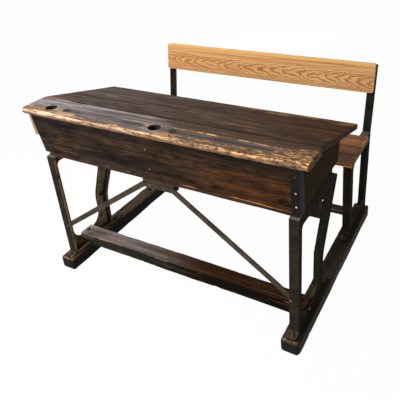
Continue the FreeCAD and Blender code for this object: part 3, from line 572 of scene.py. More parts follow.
class Tree:
    """A node tree, with the few nodes that the finishes and the studio share."""

    def __init__(self, tree: bpy.types.NodeTree) -> None:
        """Takes over a tree and empties it."""
        self.tree = tree
        self.tree.nodes.clear()

    def node(self, kind: str, settings: dict[str, Any], inputs: dict[Any, Input],
             output: Union[int, str] = 0) -> Sock:
        """Adds a node.

        Args:
            kind: Type of the node.
            settings: Properties that are set before the sockets.
            inputs: Numbers, vectors or sockets by input name or number.
            output: Number or name of the output to hand back.

        Returns:
            That output; of a node without outputs, an empty socket.
        """
        node = self.tree.nodes.new(kind)
        for key, value in settings.items():
            setattr(node, key, value)
        for key, value in inputs.items():
            if isinstance(value, Sock):
                self.tree.links.new(value.socket, node.inputs[key])
            else:
                node.inputs[key].default_value = value
        return Sock(self, node.outputs[output] if len(node.outputs) else None)

    def value(self, name: str, output: str = "Fac") -> Sock:
        """A number that the mesh keeps at each point, or with the output Vector a vector."""
        return self.node("ShaderNodeAttribute", {"attribute_name": name}, {}, output)

    def place(self) -> Sock:
        """The object's own coordinates."""
        return self.node("ShaderNodeTexCoord", {}, {}, "Object")

    def seen(self) -> Sock:
        """1 on rays from the camera, off a gloss or through a clear body, and 0 on all others.

        Returns:
            The switch.
        """
        names = ("Is Camera Ray", "Is Glossy Ray", "Is Transmission Ray")
        first, second, third = (self.node("ShaderNodeLightPath", {}, {}, name) for name in names)
        return first.maths("MAXIMUM", first.maths("MAXIMUM", first, second), third)

    def part(self, vector: Sock, axis: int) -> Sock:
        """One coordinate of a vector."""
        return self.node("ShaderNodeSeparateXYZ", {}, {0: vector}, axis)

    def noise(self, vector: Sock, scale: Sequence[float], detail: float = 3.0, rough: float = 0.55) -> Sock:
        """Cloudy noise from 0 to 1.

        Args:
            vector: Coordinates.
            scale: Waves per metre along each axis; the second of two also holds for the third axis.
            detail: Octaves.
            rough: Weight of each octave against the last.

        Returns:
            The noise.
        """
        waves = (*scale, scale[-1])[:3]
        scaled = self.node("ShaderNodeVectorMath", {"operation": "MULTIPLY"}, {0: vector, 1: waves})
        inputs = {"Vector": scaled, "Scale": 1.0, "Detail": detail, "Roughness": rough}
        return self.node("ShaderNodeTexNoise", {}, inputs)

    def step(self, value: Sock, low: float, high: float) -> Sock:
        """Smooth step from 0 at low to 1 at high."""
        settings = {"interpolation_type": "SMOOTHSTEP"}
        return self.node("ShaderNodeMapRange", settings, {0: value, 1: low, 2: high})

    def mix(self, share: Value, first: Union[Sock, Colour], second: Union[Sock, Colour],
            how: str = "MIX") -> Sock:
        """Two colours mixed, or combined in another of the Mix node's ways.

        Args:
            share: How much of the second colour shows.
            first: First colour, as a socket or as displayed.
            second: Second colour.
            how: The Mix node's blend type.

        Returns:
            The mixed colour.
        """
        settings = {"data_type": "RGBA", "blend_type": how, "clamp_factor": True}
        first, second = (end if isinstance(end, Sock) else paint(end) for end in (first, second))
        return self.node("ShaderNodeMix", settings, {0: share, 6: first, 7: second}, 2)


class Shader(Tree):
    """The node tree of one material."""

    def __init__(self, name: str) -> None:
        """Starts a material with an empty tree.

        Args:
            name: Name of the material.
        """
        self.material = bpy.data.materials.new(name)
        self.material.use_nodes = True
        super().__init__(self.material.node_tree)

    def close(self, colour: Sock, roughness: Sock, height: Sock, depth: float, metal: float = 0.0,
              specular: float = 0.2) -> bpy.types.Material:
        """Ends the tree with the surface shader.

        Args:
            colour: Base colour.
            roughness: Roughness.
            height: Relief from 0 to 1.
            depth: How deep a relief of 1 is.
            metal: Metallic share.
            specular: Specular level.

        Returns:
            The finished material.
        """
        bump = self.node("ShaderNodeBump", {}, {"Strength": 1.0, "Distance": depth, "Height": height})
        inputs = {"Base Color": colour, "Roughness": roughness, "Metallic": metal, "Normal": bump,
                  "Specular IOR Level": specular}
        return self.end(self.node("ShaderNodeBsdfPrincipled", {}, inputs))

    def end(self, surface: Sock) -> bpy.types.Material:
        """Links a shader to the material's output, and hands the material back."""
        self.node("ShaderNodeOutputMaterial", {}, {"Surface": surface})
        return self.material


@dataclass(frozen=True)
class WoodFinish:
    """Old stained wood: streaks, fibres, dirt, scratches, cracks, worn edges, and painted shade on some
    boards.
    """

    name: str
    slot: Slot
    deep: Colour
    body: Colour
    pale: Colour
    worn: Colour
    worn_deep: Colour
    worn_right: Optional[Colour] = None
    patch: Colour = (92, 58, 36)
    stain: Colour = (38, 34, 36)
    glaze: Colour = (84, 64, 50)
    end_grain: Colour = (52, 40, 30)
    furrow: Colour = (34, 26, 21)
    split: Colour = (16, 13, 11)
    left_tint: Colour = (255, 255, 255)
    right_tint: Colour = (255, 255, 255)
    turn_span: tuple[float, float] = (-0.55, 0.55)
    pale_share: float = 0.6
    patch_share: float = 0.0
    dirt_share: float = 0.5
    scratch_share: float = 0.3
    scratch_pitch: float = 190.0
    crack_share: float = 0.8
    mottle: float = 1.2
    grain_lines: float = 0.15
    pit_share: float = 0.0
    wear_span: tuple[float, float] = (0.42, 0.66)
    gloss: float = 0.0
    specular: float = 0.15
    relief: float = 0.0007

    def material(self) -> bpy.types.Material:
        """The finish as a material that reads the grain, wear and end values, the shade value, which is
        painted shade, and the glaze and stain values, which carry painted shade on some boards.

        Returns:
            The material.
        """
        shader = Shader(self.name)
        grain = shader.value("grain", "Vector")
        wear = shader.value("wear")
        right = self.worn_right or self.worn
        side = shader.step(shader.part(shader.place(), 0), *self.turn_span)
        broad = shader.noise(grain, (1.3, 13))
        streak = shader.noise(grain, (2.6, 62), 5, 0.66)
        flake = shader.noise(grain, (9, 150), 4, 0.68)
        fibre = shader.noise(grain, (26, 640), 2)
        blot = shader.noise(grain, (8, 19), 5, 0.62)
        colour = shader.mix(shader.step(streak, 0.34, 0.64), self.deep, self.body)
        light = shader.step(broad + 0.6 * (streak - 0.5), 0.42, 0.70)
        colour = shader.mix(light * self.pale_share, colour, self.pale)
        cloud = shader.noise(grain, (3.4, 9), 4, 0.6) + 0.3 * (streak - 0.5)
        colour = shader.mix(shader.step(cloud, 0.45, 0.62) * self.patch_share, colour, self.patch)
        dark, bright = (tuple(share * part for part in self.glaze) for share in (0.45, 1.35))
        # The glaze value brings in a streaky glaze colour: brown glaze on the front panel and the ledge, and
        # painted shade on the foot rail's front face.
        glaze_and_shade_share = shader.step(shader.value("glaze") + 0.5 * (blot - 0.5), 0.15, 0.85)
        colour = shader.mix(glaze_and_shade_share, colour, shader.mix(streak, dark, bright))
        colour = shader.mix(shader.step(blot, 0.50, 0.70) * self.dirt_share, colour, self.deep)
        tint = shader.mix(side, self.left_tint, self.right_tint)
        colour = shader.mix(1.0, colour, tint, "MULTIPLY")
        speck = 1 + self.mottle * (0.7 * shader.noise(grain, (15, 48), 4, 0.65) + 0.3 * blot - 0.5)
        colour = shader.mix(1.0, colour, speck, "MULTIPLY")
        furrow = shader.step(shader.noise(grain, (5, 165), 3, 0.6), 0.46, 0.58)
        colour = shader.mix(furrow * self.grain_lines, colour, self.furrow)
        lines = shader.step(shader.noise(grain, (3.5, self.scratch_pitch), 1), 0.59, 0.68)
        lines = lines * shader.step(shader.noise(grain, (4, 20), 2), 0.46, 0.60) * (0.10 + 0.90 * side)
        colour = shader.mix(lines * self.scratch_share, colour, right)
        ragged = 0.55 * (blot - 0.5) + 0.9 * (streak - 0.5) + 0.9 * (flake - 0.5)
        bared = shader.step(wear + ragged, *self.wear_span)
        fleck = 0.55 * flake + 0.30 * streak + 0.15 * fibre + 0.25 * (wear - 0.72) + 0.4 * (blot - 0.5)
        crumb = shader.noise(grain, (52, 74), 5, 0.68) - 0.5
        fleck = fleck + 1.3 * crumb * side * self.pit_share
        # painted shade: the shade value turns bare flecks to the deep worn colour, as on the ledge's lower
        # nosing.
        fleck = shader.step(fleck, 0.43, 0.55) * (1 - shader.value("shade"))
        bare = shader.mix(fleck, self.worn_deep, shader.mix(side, self.worn, right))
        chips = shader.step(shader.noise(grain, (11, 140), 4, 0.6) + 0.04 * (side - 0.5), 0.53, 0.61)
        bare = shader.mix(chips * 0.8, bare, self.furrow)
        bare = shader.mix(furrow * 1.5 * self.grain_lines, bare, self.worn_deep)
        pits = shader.step(shader.noise(grain, (46, 82), 4, 0.66), 0.53, 0.60)
        pits = pits * (0.25 + 0.75 * side) * self.pit_share
        bare = shader.mix(pits, bare, self.furrow)
        colour = shader.mix(bared, colour, bare)
        # The stain value darkens towards the stain colour: dark lid joints, a knot, the ledge's darker
        # grooves and holes, and painted shade on the front panel under the ledge and on the runners.
        stain_and_shade_share = shader.step(shader.value("stain") + 0.4 * (blot - 0.5), 0.15, 0.85)
        colour = shader.mix(stain_and_shade_share, colour, self.stain)
        cut = shader.mix(shader.noise(grain, (400, 90, 260)), self.end_grain, self.deep)
        colour = shader.mix(shader.value("end") * (1 - 0.5 * bared), colour, cut)
        crack = 1 - shader.step(abs(shader.noise(grain, (1.1, 34), 2, 0.4) - 0.5), 0.002, 0.011)
        crack = crack * shader.step(shader.noise(grain, (2.4, 7), 2), 0.50, 0.60) * self.crack_share
        colour = shader.mix(crack, colour, self.split)
        roughness = 0.66 - self.gloss + 0.28 * (streak - 0.5) + 0.10 * bared
        height = 0.45 * streak + 0.25 * flake + 0.20 * fibre - 0.9 * crack
        height = height - 0.25 * chips * bared - 0.4 * pits * bared
        return shader.close(colour, roughness, height, self.relief, specular=self.specular)


@dataclass(frozen=True)
class PineFinish:
    """Clear golden pine with nested flames low on the board's face and straight fine grain above them.

    The rings' count grows with the distance across from a wandering line and with its square, and also with
    the distance along from the waist, so that the flames point away from the waist.
    """

    name: str
    slot: Slot
    early: Colour = (228, 178, 120)
    late: Colour = (160, 100, 52)
    body: Colour = (204, 146, 86)
    edge: Colour = (242, 182, 98)
    end_grain: Colour = (84, 56, 34)
    knot: Colour = (58, 36, 22)
    heart: float = -0.014
    wander: float = 0.050
    spread: float = 1500.0
    point: float = 20.0
    taper: float = 17.0
    waist: float = 0.56
    sway: float = 4.0
    waver: float = 2.3
    flame_top: tuple[float, float] = (0.004, 0.034)
    relief: float = 0.0004

    def material(self) -> bpy.types.Material:
        """The finish as a material that reads the grain, wear, end and stain values.

        Returns:
            The material.
        """
        shader = Shader(self.name)
        grain = shader.value("grain", "Vector")
        across = shader.part(grain, 1)
        away = abs(across - self.heart + self.wander * (shader.noise(grain, (3.0, 0.5), 2) - 0.5))
        beyond = abs(shader.part(grain, 0) - self.waist)
        count = self.spread * away * away + self.point * away + self.taper * beyond
        count = count + self.sway * shader.noise(grain, (5.0, 0.8), 2)
        count = count + self.waver * shader.noise(grain, (15, 46), 4, 0.6)
        phase = shader.node("ShaderNodeMath", {"operation": "FRACT"}, {0: count})
        late = shader.step(phase, 0.36, 0.88) * (1 - shader.step(phase, 0.88, 1.0))
        fibre = shader.noise(grain, (30, 700), 2)
        streak = shader.noise(grain, (2.2, 90), 4, 0.62)
        cloud = shader.noise(grain, (3, 11))
        colour = shader.mix(shader.step(streak, 0.36, 0.64), self.body, self.early)
        bold = 1 - 0.75 * shader.step(across, *self.flame_top)
        colour = shader.mix(late * bold * (0.45 + 0.9 * cloud), colour, self.late)
        thin = shader.step(shader.noise(grain, (1.6, 210), 3, 0.6), 0.52, 0.66)
        colour = shader.mix(thin * (1 - bold) * 0.9, colour, self.late)
        colour = shader.mix(shader.step(cloud, 0.5, 0.8) * 0.30, colour, self.body)
        # The wear value brings in the bright edge colour: worn edges, and on the back a painted highlight
        # along its top.
        colour = shader.mix(shader.value("wear") * 0.8, colour, self.edge)
        colour = shader.mix(shader.value("end") * 0.9, colour, self.end_grain)
        colour = shader.mix(shader.value("stain"), colour, self.knot)
        roughness = 0.50 + 0.2 * (streak - 0.5) + 0.1 * late
        height = 0.5 * late + 0.3 * fibre + 0.2 * streak
        return shader.close(colour, roughness, height, self.relief)


@dataclass(frozen=True)
class IronFinish:
    """Old dull iron: a sandy skin, mottled from grey-olive to rust, rubbed lighter, with painted light on
    some faces.
    """

    name: str
    slot: Slot
    skin: Colour
    dark: Colour
    rust: Colour
    rubbed: Colour
    dust_and_light: Colour = (118, 112, 98)
    low_dust_and_light: Colour = (84, 70, 54)
    inner: Colour = (152, 130, 96)
    dull: Colour = (44, 41, 36)
    rust_share: float = 0.5
    metal: float = 0.06
    rough: float = 0.60
    specular: float = 0.05
    relief: float = 0.0008
    dust_and_light_share: float = 0.0
    lit_inner_share: float = 0.0
    dull_above: float = 9.0
    dust_and_light_span: tuple[float, float] = (0.15, 0.40)

    def material(self) -> bpy.types.Material:
        """The finish as a material on the object's coordinates, which also reads upper and inner values.

        Returns:
            The material.
        """
        shader = Shader(self.name)
        place = shader.place()
        height = shader.part(place, 2)
        cloud = shader.noise(place, (14, 14), 5, 0.6)
        sand = shader.noise(place, (420, 420))
        pits = shader.noise(place, (90, 90))
        spots = shader.noise(place, (30, 30, 22), 5, 0.65)
        colour = shader.mix(shader.step(cloud, 0.34, 0.66), self.dark, self.skin)
        colour = shader.mix(shader.step(spots, 0.52, 0.68) * self.rust_share, colour, self.rust)
        colour = shader.mix(shader.step(sand * 0.5 + pits * 0.5, 0.56, 0.70) * 0.45, colour, self.rubbed)
        # painted light: inward faces take a light ochre in patches
        lit_inner_patches = shader.value("inner") * self.lit_inner_share * shader.step(spots, 0.30, 0.56)
        colour = shader.mix(lit_inner_patches, colour, self.inner)
        # Upward faces lighten: dust, and painted light on tops that face the lamps; less of it near the
        # floor.
        dust_and_light_tone = shader.mix(shader.step(height, *self.dust_and_light_span), self.low_dust_and_light, self.dust_and_light)
        colour = shader.mix(shader.value("upper") * self.dust_and_light_share * (0.55 + 0.6 * pits), colour, dust_and_light_tone)
        colour = shader.mix(shader.step(height, self.dull_above, self.dull_above + 0.004), colour, self.dull)
        roughness = self.rough + 0.3 * (cloud - 0.5) + 0.12 * (spots - 0.5)
        grit = 0.45 * sand + 0.55 * pits
        return shader.close(colour, roughness, grit, self.relief, self.metal, self.specular)


class Look(Enum):
    """Every finish of the desk."""

    LID = WoodFinish(
        "lid_stain", Slot.DARK_WOOD, deep=(66, 56, 50), body=(114, 98, 88), pale=(150, 130, 117),
        worn=(200, 152, 100), worn_deep=(140, 100, 62), stain=(22, 18, 16), end_grain=(62, 43, 22),
        scratch_share=0.35, scratch_pitch=80.0, left_tint=(252, 253, 254), right_tint=(160, 119, 75),
        mottle=3.4, grain_lines=0.55, specular=0.03)
    LEDGE = WoodFinish(
        "ledge_stain", Slot.DARK_WOOD, deep=(94, 87, 87), body=(158, 148, 148), pale=(200, 190, 188),
        worn=(242, 204, 168), worn_deep=(128, 94, 68), worn_right=(240, 184, 124), furrow=(52, 40, 35),
        grain_lines=0.55, pit_share=0.85, stain=(56, 54, 58), glaze=(78, 62, 50), end_grain=(44, 36, 28),
        scratch_share=0.5, left_tint=(247, 246, 248), right_tint=(252, 230, 204), mottle=1.6, relief=0.0026,
        specular=0.10)
    # The box's stain colour is painted shade under the ledge on the front panel.
    BOX = WoodFinish(
        "box_stain", Slot.DARK_WOOD, deep=(24, 19, 17), body=(47, 36, 31), pale=(67, 51, 41),
        worn=(206, 134, 66), worn_deep=(112, 68, 36), patch=(60, 42, 30), patch_share=0.35,
        glaze=(70, 45, 25), stain=(20, 17, 15), wear_span=(0.58, 0.80), left_tint=(255, 255, 252),
        right_tint=(240, 222, 190), mottle=6.0, scratch_share=0.04, grain_lines=0.6, furrow=(17, 13, 11),
        specular=0.05)
    BOX_END = WoodFinish(
        "box_end_stain", Slot.DARK_WOOD, deep=(38, 28, 12), body=(62, 47, 23), pale=(76, 59, 31),
        worn=(104, 80, 50), worn_deep=(68, 51, 30), wear_span=(0.8, 1.05), specular=0.01)
    FLOOR_BOARD = WoodFinish(
        "box_floor_wood", Slot.DARK_WOOD, deep=(30, 22, 17), body=(50, 37, 27), pale=(68, 49, 34),
        worn=(160, 104, 56), worn_deep=(98, 62, 34), specular=0.05)
    TAN = WoodFinish(
        "tan_wood", Slot.TAN_WOOD, deep=(118, 84, 58), body=(160, 122, 90), pale=(186, 150, 116),
        worn=(216, 172, 128), worn_deep=(166, 120, 80))
    BLOCK = WoodFinish(
        "block_wood", Slot.TAN_WOOD, deep=(40, 31, 25), body=(66, 51, 40), pale=(86, 66, 50),
        worn=(140, 104, 70), worn_deep=(90, 66, 44), specular=0.06)
    # The runners' stain colour is painted shade on their sides and toe ends.
    RUNNER = WoodFinish(
        "runner_wood", Slot.RUNNER_WOOD, deep=(36, 30, 23), body=(68, 58, 46), pale=(92, 78, 61),
        worn=(150, 120, 88), worn_deep=(92, 73, 54), stain=(22, 21, 20), wear_span=(0.60, 0.95),
        end_grain=(30, 29, 24), specular=0.05)
    # The rail's glaze colour is painted shade on its front face.
    RAIL = WoodFinish(
        "foot_rail_wood", Slot.RUNNER_WOOD, deep=(112, 101, 97), body=(168, 155, 150), pale=(198, 186, 180),
        worn=(150, 130, 110), worn_deep=(104, 86, 70), patch=(152, 122, 98), patch_share=0.4,
        glaze=(38, 35, 30), scratch_share=0.2, wear_span=(0.95, 1.2), right_tint=(94, 66, 39),
        turn_span=(-0.46, 0.12), specular=0.03)
    SEAT = WoodFinish(
        "seat_stain", Slot.SEAT_WOOD, deep=(52, 29, 16), body=(116, 71, 39), pale=(184, 121, 70),
        worn=(218, 160, 100), worn_deep=(128, 82, 45), pale_share=0.85, gloss=0.08)
    INSIDE = WoodFinish(
        "box_inside_wood", Slot.DARK_WOOD, deep=(66, 48, 34), body=(100, 74, 52), pale=(126, 96, 68),
        worn=(150, 114, 80), worn_deep=(110, 80, 54))
    PINE = PineFinish("golden_pine", Slot.PINE)
    # The castings carry painted light on their upward and inward faces.
    CASTING = IronFinish(
        "old_casting", Slot.CAST_IRON, skin=(43, 38, 31), dark=(27, 24, 18), rust=(54, 41, 27),
        rubbed=(68, 62, 53), dust_and_light_share=0.8, lit_inner_share=0.9, rough=0.75, specular=0.02, metal=0.0)
    BAR = IronFinish(
        "flat_bar", Slot.FLAT_IRON, skin=(68, 58, 49), dark=(46, 38, 31), rust=(76, 54, 38),
        rubbed=(94, 83, 72))
    STRAP = IronFinish(
        "strap_iron", Slot.FLAT_IRON, skin=(26, 24, 21), dark=(16, 15, 14), rust=(35, 28, 22),
        rubbed=(46, 46, 46), rust_share=0.3)
    STEEL = IronFinish(
        "dull_steel", Slot.STEEL, skin=(96, 88, 80), dark=(62, 56, 50), rust=(82, 58, 41),
        rubbed=(136, 128, 120), metal=0.5, rough=0.45, specular=0.2, relief=0.0003)
    HINGE = IronFinish(
        "dark_hinge", Slot.STEEL, skin=(44, 37, 31), dark=(30, 26, 21), rust=(54, 38, 27),
        rubbed=(62, 54, 46), relief=0.0003)
    OLD_NAIL = IronFinish(
        "old_nail", Slot.STEEL, skin=(118, 98, 70), dark=(88, 72, 50), rust=(96, 66, 42),
        rubbed=(142, 122, 90), specular=0.1, relief=0.0002)
    NAIL = IronFinish(
        "bright_nail", Slot.STEEL, skin=(196, 180, 146), dark=(160, 142, 110), rust=(150, 122, 86),
        rubbed=(222, 210, 186), metal=0.1, rough=0.4, specular=0.2, relief=0.0002, dull_above=0.672)


@dataclass(frozen=True)
class Hinges:
    """The three hinges along the seam, and the room that their knuckles need in the wood."""

    places: tuple[float, float, float] = (-0.386094, 0.0, 0.386094)
    half: float = 0.0313
    knuckle: float = 0.0036
    wall: float = 0.0005
    play: float = 0.0002

    def stops(self) -> list[float]:
        """Places along the seam of both ends of each hinge, doubled so that the wall there is steep."""
        ends = [side * (self.half + shift) for side in (-1, 1) for shift in (0.0, self.wall)]
        return [place + end for place in self.places for end in ends]

    def let_in(self, grid: Array, pin: tuple[float, float], way: int) -> Array:
        """Draws back, to the knuckles' round, the points of a board that lie inside it.

        Args:
            grid: Points of the board.
            pin: Places across and up of the pins' line in the board's frame.
            way: 1 to draw the points towards +Y, -1 towards -Y.

        Returns:
            The places across of all points.
        """
        x, y, z = np.moveaxis(grid, -1, 0)
        near = np.abs(x[..., None] - np.array(self.places)).min(axis=-1) < self.half + self.play
        bite = np.sqrt(np.maximum(self.knuckle**2 - (z - pin[1]) ** 2, 0))
        return np.where(near & (np.hypot(y - pin[0], z - pin[1]) < self.knuckle), pin[0] + way * bite, y)


@dataclass
class SubAssembly:
    """A group of pieces with what they share: materials, the lid's lie, and how a piece takes its place."""

    materials: dict[Look, bpy.types.Material]
    body: Body = Body.DESK
    soft_angle: float = math.radians(38)
    bevel_angle: float = math.radians(35)
    bevel_steps: int = 2
    flat_angle: float = math.radians(0.6)
    copy_weld: float = 1e-5
    facing_span: tuple[float, float] = (0.5, 0.9)
    lid_slope: float = math.radians(13.9)
    lid_thickness: float = 0.020
    hinges: Hinges = Hinges()

    def settle(self, node: str, form: Union[Surface, bpy.types.Mesh], look: Look) -> bpy.types.Object:
        """Makes a surface or a mesh the piece that stands for a node.

        Args:
            node: CAD node.
            form: The piece in its place.
            look: Its finish.

        Returns:
            The piece.
        """
        name = node + "_worn"
        mesh = form.mesh(name) if isinstance(form, Surface) else form
        mesh.materials.clear()
        mesh.materials.append(self.materials[look])
        mesh.shade_smooth()
        mesh.set_sharp_from_angle(angle=self.soft_angle)
        piece = bpy.data.objects.new(name, mesh)
        bpy.context.scene.collection.objects.link(piece)
        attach(piece, self.body.value)
        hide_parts(node)
        log.info("%s: %d faces on %s", name, len(mesh.polygons), self.body.value)
        return piece

    def soft_copy(self, node: str, look: Look, bevel: float, grain: Optional[Grain] = None) -> None:
        """Piece with a node's own form and softened edges.

        Args:
            node: CAD node to copy.
            look: Its finish.
            bevel: Width of the softened edges.
            grain: The way of the grain, for wood.
        """
        mesh = frame["nodes"][node].data.copy()
        tidy_mesh(mesh, self.copy_weld, self.flat_angle)
        facing, centres = fetch(mesh.polygons, "normal"), fetch(mesh.polygons, "center")
        inward = -np.sign(centres[:, 0]) * facing[:, 0]
        # Face values for the iron finish: upward faces take dust and painted light, inward faces painted
        # light.
        for label, share in (("upper", facing[:, 2]), ("inner", inward)):
            store(mesh, label, ease(share, *self.facing_span), "FACE")
        if grain:
            store(mesh, "grain", fetch(mesh.vertices, "co")[:, list(grain.value)])
        piece = self.settle(node, mesh, look)
        soften = piece.modifiers.new("soft_edges", "BEVEL")
        soften.width = bevel
        soften.segments = self.bevel_steps
        soften.limit_method = "ANGLE"
        soften.angle_limit = self.bevel_angle
        soften.use_clamp_overlap = True
        weigh = piece.modifiers.new("flat_faces", "WEIGHTED_NORMAL")
        weigh.keep_sharp = True


def spans(node: str) -> tuple[Vector, Vector]:
    """Middle of a CAD node's box, and its size along each axis."""
    low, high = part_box(node)
    return (low + high) / 2, high - low


@dataclass
class Base(SubAssembly):
    """The floor runners, the rail between the standards and the stretcher between the runners."""

    runner_seed: int = 110
    runner_round: float = 0.011
    rail_seed: int = 130
    rail_cuts: int = 12
    rail_margin: float = 0.006
    cut_clearance: float = 0.0015
    top_band: float = 0.004
    notch_inset: float = 0.012
    notch_width: float = 0.014
    notch_length: float = 0.022
    notch_wall: float = 0.0004
    notch_room: float = 0.004
    stretcher_seed: int = 140
    stretcher_overlap: float = 0.001

    def build(self) -> None:
        """Builds every piece of the base."""
        for number, side in enumerate(SIDES):
            self.build_runner("runner_" + side, self.runner_seed + number)
        self.build_rail()
        self.build_stretcher()

    def build_runner(self, node: str, seed: int) -> None:
        """Floor runner with rounded toes.

        Args:
            node: CAD node of the runner.
            seed: Seed of its wear.
        """
        middle, size = spans(node)
        board = Board(size.y, size.x, size.z, seed, edge=0.0065, end_round=self.runner_round, chip=0.010,
                      dish=0.0009, wear_reach=0.011, cross_pitch=0.008)
        surface = board.build(Lay(middle, Vector((0, 1, 0)), Vector((-1, 0, 0))))
        self.dress_runner(surface, middle, size)
        self.settle(node, surface, Look.RUNNER)

    def dress_runner(self, surface: Surface, middle: Vector, size: Vector) -> None:
        """Painted shade on a runner's sides and toe end below the top, and wear on the top of its toe.

        Args:
            surface: The runner's surface, which is changed.
            middle: Middle of the runner.
            size: Its size.
        """
        x, y, z = surface.points.T
        drop = middle.z + size.z / 2 - z
        toe = y - middle.y + size.y / 2
        flank = 0.9 * ease(np.abs(x - middle.x), size.x / 2 - 0.004, size.x / 2)
        # painted shade on the sides and the toe's end face, from a little below the top down
        surface.values["stain"] = ease(drop, 0.004, 0.010) * np.maximum(flank, 1 - ease(toe, 0.002, 0.012))
        surface.wear(0.6, 0.9 * bell(toe - 0.006, 0.012) * bell(drop, 0.008))
        surface.values["end"] = 0.3 * surface.values["end"]

    def build_rail(self) -> None:
        """Foot rail with a notch near each end for a bolt's nut: the top sinks inside a square there."""
        middle, size = spans("foot_rail")
        bolts, bolts_size = spans("foot_rail_bolts")
        wall = self.notch_wall
        outer = size.x / 2 - self.notch_inset
        inner = outer - self.notch_width
        half = self.notch_length / 2
        shift = bolts.y - middle.y
        floor = bolts.z - bolts_size.z / 2 - self.notch_room - middle.z
        edges = np.array((outer + wall, outer, inner, inner - wall))
        sides = shift + np.array((-half - wall, -half, half, half + wall))
        reach = size.y / 2 - self.rail_margin
        spread = np.linspace(-reach, reach, self.rail_cuts)
        spread = spread[np.abs(np.abs(spread - shift) - half) > self.cut_clearance]
        board = Board(size.x, size.y, size.z, self.rail_seed, edge=0.005, end_round=0.0015, chip=0.008,
                      dish=0.001, wear_reach=0.010, cuts=np.sort(np.concatenate((spread, sides))),
                      stops=np.concatenate((edges, -edges)))

        def carve(grid: Array) -> Array:
            """Sets the top's points inside a notch down to its floor.

            Args:
                grid: Points of the board.

            Returns:
                The points with the notches.
            """
            x, y, z = np.moveaxis(grid, -1, 0)
            inside = (np.abs(x) < outer + wall / 2) & (np.abs(x) > inner - wall / 2)
            inside &= (np.abs(y - shift) < half + wall / 2) & (z > size.z / 2 - self.top_band)
            return np.stack((x, y, np.where(inside, floor, z)), axis=-1)

        surface = board.build(Lay(middle), carve)
        # painted shade: the glaze value darkens the rail's front face
        front = surface.points[:, 1] - middle.y + size.y / 2
        surface.values["glaze"] = 1 - ease(front, 0.001, 0.005)
        self.settle("foot_rail", surface, Look.RAIL)

    def build_stretcher(self) -> None:
        """Rear stretcher, shown between the runners' inner faces."""
        middle, size = spans("rear_stretcher")
        _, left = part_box("runner_left")
        right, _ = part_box("runner_right")
        length = right.x - left.x + self.stretcher_overlap
        board = Board(length, size.y, size.z, self.stretcher_seed, end_round=0.0008)
        self.settle("rear_stretcher", board.build(Lay(middle)), Look.RUNNER)


@dataclass
class IronWork(SubAssembly):
    """The four castings, the bent brace with its block, and the corner strap."""

    cast_round: float = 0.0018
    bar_round: float = 0.0012
    strap_round: float = 0.0006
    block_round: float = 0.0022

    def build(self) -> None:
        """Builds every iron piece and the brace's block."""
        for group in ("desk_standard_", "bench_standard_"):
            for side in SIDES:
                self.soft_copy(group + side, Look.CASTING, self.cast_round)
        self.soft_copy("cross_brace", Look.BAR, self.bar_round)
        self.soft_copy("corner_strap_right", Look.STRAP, self.strap_round)
        self.soft_copy("brace_block", Look.BLOCK, self.block_round, Grain.ALONG_X)


